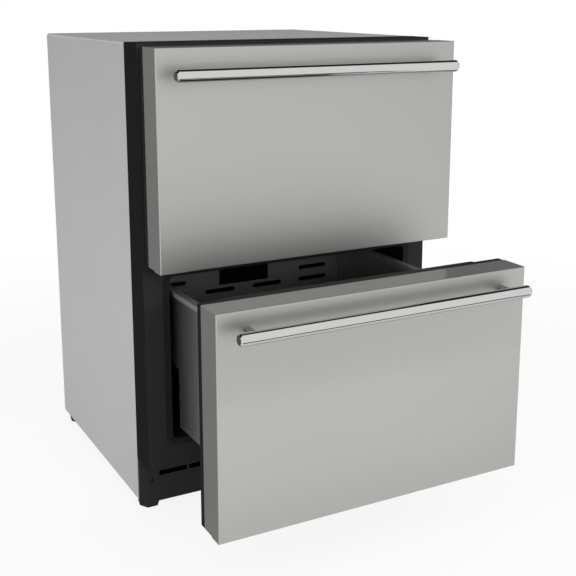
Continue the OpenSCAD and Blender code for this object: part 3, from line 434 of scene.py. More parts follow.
def eased(node, radius):
    """A copy of a node's mesh whose outer folds have a small radius, as bent sheet has."""
    shape = bmesh.new()
    shape.from_mesh(node.data)
    bmesh.ops.remove_doubles(shape, verts=shape.verts, dist=WELD)
    bmesh.ops.dissolve_limit(shape, angle_limit=math.radians(0.5), verts=shape.verts, edges=shape.edges)
    room = 2.2 * radius
    folds = []
    for edge in shape.edges:
        edge.smooth = True
        if len(edge.link_faces) != 2 or edge.calc_length() < room:
            continue
        if edge.calc_face_angle_signed(0.0) > math.radians(40) and min(reach(f, edge) for f in edge.link_faces) > room:
            folds.append(edge)
    rounds = set(rounded(shape, folds, radius, clamp=True)["faces"])
    for face in shape.faces:
        face.smooth = True
    for edge in shape.edges:
        if len(edge.link_faces) == 2:
            border = (edge.link_faces[0] in rounds) != (edge.link_faces[1] in rounds)
            edge.smooth = not border and edge.calc_face_angle(0.0) < math.radians(35)
    return shape


def tube(shape, start, end, radius, segments):
    """A closed round bar from one point to another."""
    start, end = Vector(start), Vector(end)
    axis = end - start
    turn = axis.to_track_quat("Z", "Y").to_matrix().to_4x4()
    bmesh.ops.create_cone(shape, cap_ends=True, segments=segments, radius1=radius, radius2=radius,
                          depth=axis.length, matrix=Matrix.Translation((start + end) / 2) @ turn)


def hoop(shape, centre, axis, big, small, steps):
    """A closed ring of round wire about an axis."""
    axis = Vector(axis)
    side = axis.orthogonal().normalized()
    turn = axis.cross(side).to_track_quat("Z", "Y").to_matrix().to_4x4()
    circle = bmesh.ops.create_circle(shape, segments=8, radius=small,
                                     matrix=Matrix.Translation(Vector(centre) + side * big) @ turn)["verts"]
    bmesh.ops.spin(shape, geom=circle + edges_of(circle), cent=centre, axis=axis, angle=math.tau, steps=steps,
                   use_merge=True)


def joined(shape, points, closed=True):
    """A line of edges through the points."""
    corners = [shape.verts.new(p) for p in points]
    pairs = list(zip(corners, corners[1:] + corners[:1] if closed else corners[1:]))
    return corners, [shape.edges.new(pair) for pair in pairs]


def lathed(shape, points, centre, axis, steps, closed=False):
    """A line of points spun a full turn about an axis."""
    corners, line = joined(shape, points, closed)
    bmesh.ops.spin(shape, geom=corners + line, cent=centre, axis=axis, angle=math.tau, steps=steps, use_merge=True)


def carried(shape, edges, step):
    """Extrudes a line of edges by a step and gives the new line."""
    grown = bmesh.ops.extrude_edge_only(shape, edges=edges)["geom"]
    corners = [g for g in grown if isinstance(g, bmesh.types.BMVert)]
    bmesh.ops.translate(shape, verts=corners, vec=step)
    return [g for g in grown if isinstance(g, bmesh.types.BMEdge)]


def swung(shape, edges, centre, axis, angle, steps):
    """Spins a line of edges about an axis and gives the last line."""
    last = bmesh.ops.spin(shape, geom=verts_of(edges) + edges, cent=centre, axis=axis, angle=angle, steps=steps)
    return [g for g in last["geom_last"] if isinstance(g, bmesh.types.BMEdge)]


def swept(shape, points, radius, bend, sides):
    """A round section drawn along straight legs with a bend between them; gives its two end faces."""
    points = [Vector(p) for p in points]
    ways = [(b - a).normalized() for a, b in zip(points, points[1:])]
    turn = ways[0].to_track_quat("Z", "Y").to_matrix().to_4x4()
    circle = bmesh.ops.create_circle(shape, segments=sides, radius=radius,
                                     matrix=Matrix.Translation(points[0]) @ turn)["verts"]
    first = line = edges_of(circle)
    spent = 0.0
    for i, way in enumerate(ways):
        after = ways[i + 1] if i + 1 < len(ways) else None
        angle = way.angle(after) if after else 0.0
        trim = bend * math.tan(angle / 2)
        line = carried(shape, line, way * ((points[i + 1] - points[i]).length - spent - trim))
        spent = trim
        if after:
            inward = (after - way * after.dot(way)).normalized()
            line = swung(shape, line, points[i + 1] - way * trim + inward * bend, way.cross(after), angle, 7)
    return [bmesh.ops.contextual_create(shape, geom=end)["faces"][0] for end in (first, line)]


# ---------------------------------------------------------------- settings

def length(name, description, default):
    return FloatProperty(name=name, description=description, default=default, unit="LENGTH")


def power(name, description, default):
    return FloatProperty(name=name, description="Power of " + description, default=default, unit="POWER")


def tone(name, description, default):
    return FloatProperty(name=name, description="Brightness of " + description, default=default, min=0.0)


class FridgeColours(bpy.types.PropertyGroup):
    """The base colour of each finish."""

    __annotations__ = {
        slot: FloatVectorProperty(name=slot.replace("_", " ").capitalize(),
                                  description="Base colour of the finish " + slot.replace("_", " "),
                                  subtype="COLOR", size=3, min=0.0, max=1.0, default=colour)
        for slot, colour in colour_of.items()
    }


class FridgeSizes(bpy.types.PropertyGroup):
    """Sizes of the fine pieces."""

    fold_radius: length("Fold radius", "Radius along the folds of the cabinet and the tubs", 0.0015)
    edge_radius: length("Edge radius", "Radius along the edges of moulded and turned pieces", 0.0007)
    sheet_radius: length("Sheet edge radius", "Radius along the cut edges of thin sheet", 0.0003)
    gasket_width: length("Gasket width", "Width of the folded seal", 0.007)
    gasket_corner: length("Gasket corner", "Corner radius of the seal's inner edge", 0.022)
    pad_height: length("Pad height", "Height of a levelling foot's pad", 0.014)
    pad_flare: length("Pad flare", "How much wider a pad is at its top than at its sole", 0.0035)
    stem_radius: length("Stem radius", "Outer radius of a levelling foot's thread", 0.005)
    thread_pitch: length("Thread pitch", "Pitch of the thread on a levelling foot", 0.0015)
    bar_end_radius: length("Bar end radius", "Radius of the disc in the end of a bar", 0.0078)
    guard_wire: length("Guard wire", "Wire radius of the condenser fan's guard", 0.0012)
    mouth_radius: length("Fan mouth", "Radius of the hole in the duct cover that the grille closes", 0.056)
    socket_wall: length("Socket wall", "How much wider a brazed socket is than its pipe", 0.0009)
    sleeve_radius: length("Sleeve radius", "Outer radius of the foam sleeve on the suction pipe", 0.0092)
    bead_radius: length("Weld bead", "Radius of the beads round the compressor", 0.0016)
    clip_wire: length("Clip wire", "Wire radius of the clip on the compressor's terminal cover", 0.0011)


class FridgeStudio(bpy.types.PropertyGroup):
    """The studio's lamps, floor, cards and camera."""

    sky: tone("Sky", "the even light from all sides", 0.55)
    key_power: power("Key lamp", "the large soft lamp at the front left", 30.0)
    fill_power: power("Fill lamp", "the soft lamp at the front right", 40.0)
    front_power: power("Front lamp", "the low lamp that shines in under the upper front", 32.0)
    side_power: power("Side lamp", "the low lamp at the left", 8.5)
    floor_size: length("Floor size", "Side of the square floor", 14.0)
    card_tone: tone("Dark cards", "the cards that bare metal mirrors from behind", 0.25)
    card_width: length("Card width", "Width of those cards", 9.0)
    card_edge: length("Card edge", "Where the rear card begins on the floor, along Y", -0.3)
    ceiling_tone: tone("Ceiling card", "the card overhead", 0.02)
    ceiling_edge: length("Ceiling edge", "Where the ceiling card begins, along Y", -0.5)
    right_card: length("Right card", "Where the card to the right stands, along X", 3.0)
    strip_tone: tone("Floor strip", "the strip of floor that the bars mirror", 0.01)
    strip_near: length("Strip's front", "Where the strip begins, along Y", -1.0)
    strip_far: length("Strip's rear", "Where the strip ends, along Y", -0.62)
    # brightness of the painted shadow that mirrors see on the floor next to the open drawer
    foot_tone: tone("Floor by the front", "the floor next to the open drawer in the bars", 0.5)
    wall_height: length("Wall height", "Height of the low white wall that hides the strip from the fronts", 0.21)
    wall_length: length("Wall length", "Length of that wall from its left end", 1.38)
    camera_place: FloatVectorProperty(name="Camera place", description="Where the camera stands", subtype="XYZ",
                                      unit="LENGTH", default=(-0.8859, -1.7359, 0.9486))
    camera_yaw: FloatProperty(name="Camera yaw", description="Turn of the camera to the right of the rear wall",
                              subtype="ANGLE", default=math.radians(28.137))
    camera_pitch: FloatProperty(name="Camera pitch", description="How far the camera looks down", subtype="ANGLE",
                                default=math.radians(12.198))
    lens: FloatProperty(name="Lens", description="Focal length in millimetres on a sensor 36 mm wide", default=63.73)
    rise: FloatProperty(name="Rise", description="Vertical shift of the lens", default=-0.12)


# ---------------------------------------------------------------- operators

class FRIDGE_OT_finishes(bpy.types.Operator):
    """Give every node of the frame its finish"""

    bl_idname = "fridge.finishes"
    bl_label = "Coat the nodes"

    def execute(self, context):
        for name, node in nodes.items():
            coat(node, finish_of(slot_of[name]))
        # the posts wear handle steel darkened to 0.45 of its colour: painted shade where they stand against the front
        for name in ("upper_handle_posts", "lower_handle_posts"):
            coat(nodes[name], made("handle_steel", "handle_steel_" + name, turned_steel, 0.45))
        return {"FINISHED"}


FOLDED = ("side_panel_left", "side_panel_right", "upper_tub_side_left", "upper_tub_side_right", "lower_tub_side_left",
          "lower_tub_side_right", "base_pan", "drain_pan")
MOULDED = ("foot_nuts", "compressor_mounts", "top_panel", "toe_grille", "opening_trims", "upper_front_liner",
           "lower_front_liner", "upper_handle_bar", "lower_handle_bar", "evaporator_cover", "control_panel",
           "power_inlet", "front_frame")
SHEETS = ("upper_tub_back", "lower_tub_back", "upper_tub_floor", "lower_tub_floor", "machine_cover", "back_panel")


class FRIDGE_OT_folds(bpy.types.Operator):
    """Give folded sheet and moulded pieces their small edge radii"""

    bl_idname = "fridge.folds"
    bl_label = "Ease the folds"

    def execute(self, context):
        sizes = context.scene.fridge_sizes
        for names, radius in ((FOLDED, sizes.fold_radius), (MOULDED, sizes.edge_radius), (SHEETS, sizes.sheet_radius)):
            for name in names:
                finished(name + "_eased", eased(nodes[name], radius), body_of[name], slot_of[name], name)
        coat(bpy.data.objects["opening_trims_eased"], made("dark_liner", "dark_liner_trim", powder_coat, 0.5, 0.06))
        return {"FINISHED"}


# outline of a seal, from its inner edge outwards and from its front backwards, as shares of its width and depth
SEAL = [(0.18, 0.0), (0.82, 0.0), (0.82, 0.10), (1.0, 0.17), (1.0, 0.33), (0.74, 0.42), (0.74, 0.47), (1.0, 0.56),
        (1.0, 0.93), (0.92, 1.0), (0.08, 1.0), (0.0, 0.93), (0.0, 0.56), (0.26, 0.47), (0.26, 0.42), (0.0, 0.33),
        (0.0, 0.17), (0.18, 0.10)]


class FRIDGE_OT_gaskets(bpy.types.Operator):
    """Make the two folded seals, each with its dart, bellows and magnet pocket"""

    bl_idname = "fridge.gaskets"
    bl_label = "Make the gaskets"

    def execute(self, context):
        sizes = context.scene.fridge_sizes
        wide, radius = sizes.gasket_width, sizes.gasket_corner
        for name in ("upper_gasket", "lower_gasket"):
            low, high = corners_of(name)
            left, right = low.x + wide + radius, high.x - wide - radius
            bottom, top = low.z + wide + radius, high.z - wide - radius
            deep = high.y - low.y
            shape = bmesh.new()
            _, line = joined(shape, [(left, low.y + back * deep, bottom - radius - out * wide) for out, back in SEAL])
            legs = (((right - left, 0, 0), (right, bottom)), ((0, 0, top - bottom), (right, top)),
                    ((left - right, 0, 0), (left, top)), ((0, 0, bottom - top), (left, bottom)))
            for step, (x, z) in legs:
                line = carried(shape, line, step)
                line = swung(shape, line, (x, low.y, z), (0, -1, 0), math.pi / 2, 8)
            settle(shape, 50.0)
            finished(name + "_bellows", shape, body_of[name], slot_of[name], name)
        return {"FINISHED"}


class FRIDGE_OT_feet(bpy.types.Operator):
    """Make the four levelling feet, each a flared hexagonal pad on a threaded stem"""

    bl_idname = "fridge.feet"
    bl_label = "Make the feet"

    def execute(self, context):
        sizes = context.scene.fridge_sizes
        flare, pad, pitch, crest = sizes.pad_flare, sizes.pad_height, sizes.thread_pitch, sizes.stem_radius
        thread_depth, sunk, facets = 0.0008, 0.0002, 16
        sole_rim, sole_hollow, pad_round, stem_round = 0.0035, 0.0012, 0.0011, 0.0009
        core = crest - thread_depth
        root = core - sunk
        for name in ("foot_front_left", "foot_front_right", "foot_rear_left", "foot_rear_right"):
            low, high = corners_of(name)
            middle = (low + high) / 2
            x, y = middle.x, middle.y
            wide = (high.x - low.x) / 2
            shape = bmesh.new()
            place = Matrix.Translation((x, y, pad / 2)) @ Matrix.Rotation(math.radians(30), 4, "Z")
            bmesh.ops.create_cone(shape, cap_ends=True, segments=6, radius1=wide - flare, radius2=wide, depth=pad,
                                  matrix=place)
            sole = min(shape.faces, key=lambda f: f.calc_center_median().z)
            bmesh.ops.inset_individual(shape, faces=[sole], thickness=sole_rim, depth=-sole_hollow)
            # every edge but those that the pad stands on
            rounded(shape, [e for e in shape.edges if e.calc_face_angle(0.0) > math.radians(30)
                            and max(v.co.z for v in e.verts) > 0.0002], pad_round)
            tube(shape, (x, y, pad - 0.001), (x, y, high.z), core, 24)
            top = [e for e in shape.edges if all(abs(v.co.z - high.z) < 1e-6 for v in e.verts)]
            rounded(shape, top, stem_round, 1)

            # the thread's ridge climbs from the pad to just under the stem's end
            start, end_gap = pad + 0.0005, 0.0012
            steps = int((high.z - end_gap - pitch - start) / pitch * facets)
            section = ((root, 0.05), (crest, 0.42), (crest, 0.58), (root, 0.95))
            corners, ridge = joined(shape, [(x + r, y, start + z * pitch) for r, z in section])
            climb = bmesh.ops.spin(shape, geom=corners + ridge, cent=middle, axis=(0, 0, 1), steps=steps,
                                   angle=math.tau * steps / facets, dvec=(0, 0, pitch / facets))
            for end in (ridge, [g for g in climb["geom_last"] if isinstance(g, bmesh.types.BMEdge)]):
                bmesh.ops.contextual_create(shape, geom=end)
            settle(shape, 32.0)
            finished(name + "_threaded", shape, body_of[name], slot_of[name], name)
        return {"FINISHED"}


def cross_head(shape, place, radius, height):
    """A pan head with a cross recess, made from z = 0 upwards and then placed by a matrix."""
    grid = bmesh.ops.create_grid(shape, x_segments=3, y_segments=3, size=1.0)["verts"]
    arm, tip = 0.16 * radius, 0.52 * radius
    for v in grid:
        for axis in (0, 1):
            side = v.co[axis]
            v.co[axis] = math.copysign(tip if abs(side) > 0.5 else arm, side)
    fields = list(dict.fromkeys(f for v in grid for f in v.link_faces))
    cross = [f for f in fields if min(abs(c) for c in f.calc_center_median()[:2]) < 1e-7]
    line = [e for e in edges_of(grid) if len(e.link_faces) == 1]
    head = list(grid)

    for size, lift in ((0.72, 0.0), (0.9, -0.12), (1.0, -0.4), (1.0, -1.0)):
        grown = bmesh.ops.extrude_edge_only(shape, edges=line)["geom"]
        ring = [g for g in grown if isinstance(g, bmesh.types.BMVert)]
        for v in ring:
            v.co = Vector((v.co.x, v.co.y, 0)).normalized() * size * radius + Vector((0, 0, lift * height))
        head += ring
        line = [g for g in grown if isinstance(g, bmesh.types.BMEdge)]
    sunk = bmesh.ops.extrude_face_region(shape, geom=cross)["geom"]
    floor = [g for g in sunk if isinstance(g, bmesh.types.BMVert)]
    bmesh.ops.delete(shape, geom=cross, context="FACES_KEEP_BOUNDARY")
    for v in floor:
        v.co = Vector((v.co.x * 0.8, v.co.y * 0.8, -0.65 * height))
    bmesh.ops.transform(shape, matrix=place @ Matrix.Translation((0, 0, height)), verts=head + floor)


class FRIDGE_OT_bar_ends(bpy.types.Operator):
    """Close the ends of the two bars with turned discs"""

    bl_idname = "fridge.bar_ends"
    bl_label = "Make the bar ends"

    def execute(self, context):
        rim = context.scene.fridge_sizes.bar_end_radius
        # half section of a disc: flat middle, a turned groove, and a rounded lip
        section = [(0.0, 0.00045), (0.62, 0.00045), (0.66, 0.0002), (0.72, 0.0002), (0.76, 0.00045), (0.93, 0.00045),
                   (1.0, 0.0001), (1.0, -0.0006)]
        for name in ("upper_handle_bar", "lower_handle_bar"):
            low, high = corners_of(name)
            _, y, z = (low + high) / 2
            shape = bmesh.new()
            for side, end in ((-1, low.x), (1, high.x)):
                lathed(shape, [(end + side * out, y, z + r * rim) for r, out in section], (end, y, z), (1, 0, 0), 40)
            settle(shape, 30.0)
            discs = finished(name + "_ends", shape, body_of[name], "handle_steel")
            # the discs wear handle steel darkened to 0.2 of its colour: painted shade
            coat(discs, made("handle_steel", "handle_steel_" + name + "_ends", turned_steel, 0.2))
        return {"FINISHED"}


def islands(mesh):
    """The low and the high corner of each loose part of a mesh."""
    shape = bmesh.new()
    shape.from_mesh(mesh)
    bmesh.ops.remove_doubles(shape, verts=shape.verts, dist=WELD)
    boxes, left = [], set(shape.verts)
    while left:
        grown = [left.pop()]
        for v in grown:
            for other in (e.other_vert(v) for e in v.link_edges):
                if other in left:
                    left.remove(other)
                    grown.append(other)
        boxes.append([[pick(v.co[i] for v in grown) for i in range(3)] for pick in (min, max)])
    shape.free()
    return sorted(boxes)


class FRIDGE_OT_screws(bpy.types.Operator):
    """Make the cross-recessed screws of the rear panels and of the toe grille"""

    bl_idname = "fridge.screws"
    bl_label = "Make the screws"

    def execute(self, context):
        name = "panel_screws"
        shape = bmesh.new()
        # each screw is a loose island of the node: its head is made anew where the old one lies
        for low, high in islands(nodes[name].data):
            x, z = (low[0] + high[0]) / 2, (low[2] + high[2]) / 2
            rear = low[1] > REAR
            height = 0.0018 if rear else 0.0012
            face, tip = (high[1] - height, low[1]) if rear else (low[1] + height, high[1])
            turn = Matrix.Rotation(math.radians(-90 if rear else 90), 4, "X")
            # each recess stands at an angle of its own
            spun = Matrix.Rotation(math.radians((x * 7919 + z * 104729) % 90), 4, "Z")
            cross_head(shape, Matrix.Translation((x, face, z)) @ turn @ spun, (high[0] - low[0]) / 2, height)
            tube(shape, (x, face, z), (x, tip, z), 0.0019, 16)
        settle(shape, 40.0)
        screws = finished("cross_screws", shape, body_of[name], slot_of[name], name)
        coat(screws, made(slot_of[name], slot_of[name] + "_screws", screw_steel))
        return {"FINISHED"}


class FRIDGE_OT_guard(bpy.types.Operator):
    """Make the wire guard behind the condenser fan"""

    bl_idname = "fridge.guard"
    bl_label = "Make the fan guard"

    def execute(self, context):
        wire = context.scene.fridge_sizes.guard_wire
        low, high = corners_of("condenser_fan_motor")
        wide = (high.x - low.x) / 2
        hub = Vector(((low.x + high.x) / 2, high.y + wire * 0.8, high.z - wide))
        shape = bmesh.new()
        for share in (0.955, 0.8, 0.65, 0.5, 0.35):
            hoop(shape, hub, (0, 1, 0), wide * share, wire, 60)
        behind = hub + Vector((0, wire * 1.7, 0))
        for i in range(8):
            way = Matrix.Rotation(math.tau * (i + 0.5) / 8, 4, "Y") @ Vector((wide, 0, 0))
            tube(shape, behind + way * 0.14, behind + way * 0.97, wire, 8)
        # pressed disc that the wires are welded to
        section = [(0.0, 2.6), (0.12, 2.6), (0.17, 2.0), (0.2, 1.2), (0.2, 0.4), (0.0, 0.4)]
        lathed(shape, [hub + Vector((r * wide, back * wire, 0)) for r, back in section], hub, (0, 1, 0), 32)
        settle(shape, 40.0)
        finished("condenser_fan_guard", shape, body_of["condenser_fan_motor"], "black_painted_coil")
        return {"FINISHED"}


class FRIDGE_OT_fan_mouth(bpy.types.Operator):
    """Make the moulded grille in the mouth of the duct cover, in front of the evaporator fan"""

    bl_idname = "fridge.fan_mouth"
    bl_label = "Make the fan mouth"

    def execute(self, context):
        mouth = context.scene.fridge_sizes.mouth_radius
        low, high = corners_of("evaporator_fan")
        hub = Vector((0.0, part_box("evaporator_cover")[0][1], (low.z + high.z) / 2))
        shape = bmesh.new()
        # sections of the outer rim, of a ring and of the hub's ring: from a radius outwards, and back from the cover
        rim = [(-2.2, -0.4), (0.4, -1.1), (3.4, -1.1), (4.2, -0.5), (4.2, -0.02), (-0.3, -0.02), (-0.3, 3.6),
               (-2.2, 3.6)]
        ring = [(-0.9, 0.2), (-0.4, -0.4), (0.4, -0.4), (0.9, 0.2), (0.7, 3.2), (-0.7, 3.2)]
        core = [(0.9, 0.2), (0.4, -0.4), (-1.2, -0.4), (-1.2, 3.2), (0.7, 3.2)]
        for share, section in ((1.0, rim), (0.78, ring), (0.59, ring), (0.4, ring), (0.2, core)):
            lathed(shape, [hub + Vector((share * mouth + out * 0.001, back * 0.001, 0)) for out, back in section],
                   hub, (0, 1, 0), 72, closed=True)
        inner, outer = mouth * 0.2, mouth - 0.0012
        for i in range(12):
            bar = bmesh.ops.create_cube(shape, size=1.0)["verts"]
            place = (Matrix.Translation(hub) @ Matrix.Rotation(math.tau * i / 12, 4, "Y")
                     @ Matrix.Translation(((inner + outer) / 2, 0.0018, 0))
                     @ Matrix.Diagonal((outer - inner, 0.0022, 0.0015, 1.0)))
            bmesh.ops.transform(shape, matrix=place, verts=bar)
            rounded(shape, [e for e in edges_of(bar) if e.calc_length() > 0.01], 0.0003, 2)
        settle(shape, 35.0)
        finished("evaporator_fan_grille", shape, body_of["evaporator_cover"], "dark_liner")
        return {"FINISHED"}


class FRIDGE_OT_compressor_fittings(bpy.types.Operator):
    """Make the compressor's weld beads, its terminal cover's clip and its pinched filling pipe"""

    bl_idname = "fridge.compressor_fittings"
    bl_label = "Make the compressor's fittings"

    def execute(self, context):
        sizes = context.scene.fridge_sizes
        low, high = corners_of("compressor")
        mounts = corners_of("compressor_mounts")
        # the shell is round: it reaches the rear of the node's box, less the belt, and its axis is between the mounts
        belt, bead_lift, bead_out = 0.003, 0.0052, 0.0012
        centre = (mounts[0] + mounts[1]) / 2
        centre.z = (low.z + high.z) / 2
        radius = high.y - centre.y - belt
        body = body_of["compressor"]

        shape = bmesh.new()
        for lift in (-bead_lift, bead_lift):
            hoop(shape, centre + Vector((0, 0, lift)), (0, 0, 1), radius + bead_out, sizes.bead_radius, 96)
        settle(shape, 60.0)
        finished("compressor_weld_beads", shape, body, "compressor_paint")

        # a wire that goes from one side of the terminal cover over its face to the other side
        wire = sizes.clip_wire
        half_cover, leg, clip_bend = 0.024, 0.026, 0.003
        side, outer, level = half_cover + wire, high.x + wire * 0.9, low.z + 0.062
        shape = bmesh.new()
        swept(shape, [(x, centre.y + y, level) for x, y in ((outer - leg, -side), (outer, -side), (outer, side),
                                                            (outer - leg, side))], wire, clip_bend, 10)
        settle(shape, 50.0)
        finished("terminal_cover_clip", shape, body, "galvanised_steel")

        # a pipe that leaves the shell to the rear left, turns up, and is pinched flat at its tip
        pipe, pipe_bend, inside, outside, upright = 0.0032, 0.008, 0.006, 0.012, 0.034
        way = Vector((-1, 1, 0)).normalized()
        foot = centre + Vector((0, 0, 0.028))
        bent = foot + way * (radius + outside)
        shape = bmesh.new()
        _, tip = swept(shape, [foot + way * (radius - inside), bent, bent + Vector((0, 0, upright))], pipe, pipe_bend,
                       14)
        about = Matrix.Translation(bent) @ Matrix.Rotation(math.radians(45), 4, "Z")
        pinch = about @ Matrix.Diagonal((0.3, 1.2, 1.0, 1.0)) @ about.inverted()
        bmesh.ops.transform(shape, matrix=pinch, verts=tip.verts[:])
        settle(shape, 50.0)
        finished("filling_pipe", shape, body, "copper_pipe")
        return {"FINISHED"}


# the routes of the copper pipes, with their radius: suction, hot gas, to the drier, and liquid
PIPES = (
    (0.004, ((-0.19, 0.38555, 0.59643), (-0.206, 0.38555, 0.59643), (-0.206, 0.38555, 0.56), (-0.11, 0.38555, 0.56),
             (-0.11, 0.38555, 0.224), (0.0545, 0.38555, 0.224), (0.0545, 0.31655, 0.224), (0.0545, 0.31655, 0.14378),
             (0.0745, 0.31655, 0.14378))),
    (0.003, ((0.1585, 0.23255, 0.0948), (0.1585, 0.16295, 0.09975), (0.2205, 0.16295, 0.09975),
             (0.2205, 0.06225, 0.09975), (0.2085, 0.06225, 0.09975))),
    (0.003, ((-0.2385, 0.06225, 0.04275), (-0.2525, 0.06225, 0.04275), (-0.2525, 0.15295, 0.04275))),
    (0.003, ((-0.2525, 0.24295, 0.04275), (-0.2525, 0.27295, 0.04275), (-0.2525, 0.27295, 0.208),
             (-0.15, 0.27295, 0.208), (-0.15, 0.38555, 0.208), (-0.15, 0.38555, 0.545), (-0.218, 0.38555, 0.545),
             (-0.218, 0.38555, 0.78077), (-0.19, 0.38555, 0.78077))),
)


class FRIDGE_OT_pipes(bpy.types.Operator):
    """Make the bent copper pipes with a brazed socket at each end"""

    bl_idname = "fridge.pipes"
    bl_label = "Make the pipes"

    def execute(self, context):
        wall = context.scene.fridge_sizes.socket_wall
        name = "refrigerant_pipes"
        shape = bmesh.new()
        for radius, route in PIPES:
            bend = 3 * radius
            swept(shape, route, radius, bend, 16)
            for end, inner in ((route[0], route[1]), (route[-1], route[-2])):
                end, leg = Vector(end), Vector(inner) - Vector(end)
                before = set(shape.edges)
                tube(shape, end, end + leg.normalized() * min(0.0075, leg.length - bend), radius + wall, 16)
                rims = [e for e in shape.edges if e not in before and e.calc_face_angle(0.0) > math.radians(60)]
                rounded(shape, rims, wall * 0.8)
        settle(shape, 45.0)
        finished("copper_pipes", shape, body_of[name], slot_of[name], name)
        return {"FINISHED"}


class FRIDGE_OT_control_box(bpy.types.Operator):
    """Make the electronics housing with its lid, screws and cable outlets"""

    bl_idname = "fridge.control_box"
    bl_label = "Make the control box"

    def execute(self, context):
        name = "control_box"
        low, high = corners_of(name)
        size, middle = high - low, (low + high) / 2
        shape = bmesh.new()
        bmesh.ops.create_cube(shape, size=1.0, matrix=Matrix.Translation(middle) @ Matrix.Diagonal((*size, 1.0)))
        corner, field_in, field_deep, lid_round = 0.006, 0.0035, 0.0012, 0.0008
        rounded(shape, [e for e in shape.edges if abs(e.verts[0].co.z - e.verts[1].co.z) > size.z / 2], corner, 5)
        # the lid is the lower third; a groove parts it from the tray above
        groove_low, groove_high, groove_deep = 0.0165, 0.0178, 0.0011
        for level in (groove_low, groove_high):
            bmesh.ops.bisect_plane(shape, geom=shape.verts[:] + shape.edges[:] + shape.faces[:],
                                   plane_co=(0, 0, low.z + level), plane_no=(0, 0, 1))
        groove = [f for f in shape.faces
                  if abs(f.normal.z) < 0.5 and groove_low < f.calc_center_median().z - low.z < groove_high]
        bmesh.ops.inset_region(shape, faces=groove, thickness=0.0, depth=-groove_deep, use_boundary=True,
                               use_even_offset=True)
        # sunk field in the lid's underside
        lid = min(shape.faces, key=lambda f: f.calc_center_median().z)
        bmesh.ops.inset_individual(shape, faces=[lid], thickness=field_in, depth=0.0)
        bmesh.ops.inset_individual(shape, faces=[lid], thickness=0.001, depth=-field_deep)
        rounded(shape, [e for e in shape.edges if len(e.link_faces) == 2
                        and e.calc_face_angle_signed(0.0) > math.radians(60)
                        and all(abs(v.co.z - low.z) < 1e-6 for v in e.verts)], lid_round, 2)
        settle(shape, 35.0)
        finished("control_box_housing", shape, body_of[name], slot_of[name], name)

        inset, head, radius = 0.0075, 0.0014, 0.0029
        shape = bmesh.new()
        for x in (-1, 1):
            for y in (-1, 1):
                spot = (middle.x + x * (size.x / 2 - inset), middle.y + y * (size.y / 2 - inset), low.z + head)
                cross_head(shape, Matrix.Translation(spot) @ Matrix.Rotation(math.pi, 4, "X")
                           @ Matrix.Rotation(0.4 + x + 2 * y, 4, "Z"), radius, head)
        settle(shape, 40.0)
        finished("control_box_screws", shape, body_of[name], "galvanised_steel")

        # three ribbed cable outlets in the rear wall, closed with blind grommets
        section = [(0.0, 2.2), (0.3, 2.2), (0.36, 3.4), (0.52, 3.4), (0.6, 2.2), (0.8, 2.0), (1.0, 1.4), (1.0, 0.5),
                   (0.9, -0.3)]
        shape = bmesh.new()
        for i, radius in enumerate((0.0075, 0.0055, 0.0055)):
            spot = Vector((low.x + 0.028 + i * 0.024, high.y, low.z + 0.036))
            lathed(shape, [spot + Vector((r * radius, out * 0.001, 0)) for r, out in section], spot, (0, 1, 0), 28)
        settle(shape, 35.0)
        finished("control_box_grommets", shape, body_of[name], "mount_rubber")
        return {"FINISHED"}


class FRIDGE_OT_sleeve(bpy.types.Operator):
    """Make the foam sleeve on the suction pipe"""

    bl_idname = "fridge.sleeve"
    bl_label = "Make the pipe sleeve"

    def execute(self, context):
        radius = context.scene.fridge_sizes.sleeve_radius
        # the level run of the suction pipe under the hump, with the balls at its corners, and no other pipe
        span, band = (-0.13, 0.07), (0.2145, 0.236)
        run = [v.co for v in nodes["refrigerant_pipes"].data.vertices
               if band[0] < v.co.z < band[1] and span[0] < v.co.x < span[1]]
        low, high = ([pick(p[i] for p in run) for i in range(3)] for pick in (min, max))
        ball = (high[2] - low[2]) / 2
        bare, drop, hole, recess = 0.03, 0.066, 0.0047, 0.004
        left, right = low[0] + bare, high[0] - ball
        rear, near, level = high[1] - ball, low[1] + ball, high[2] - ball
        route = [(left, rear, level), (right, rear, level), (right, near, level), (right, near, level - drop)]
        shape = bmesh.new()
        for cap in swept(shape, route, radius, radius + 0.0003, 20):
            bmesh.ops.recalc_face_normals(shape, faces=shape.faces)
            bmesh.ops.inset_individual(shape, faces=[cap], thickness=radius - hole, depth=0.0)
            bmesh.ops.translate(shape, verts=cap.verts[:], vec=-cap.normal * recess)
        settle(shape, 50.0)
        finished("suction_pipe_sleeve", shape, body_of["refrigerant_pipes"], "mount_rubber")
        return {"FINISHED"}


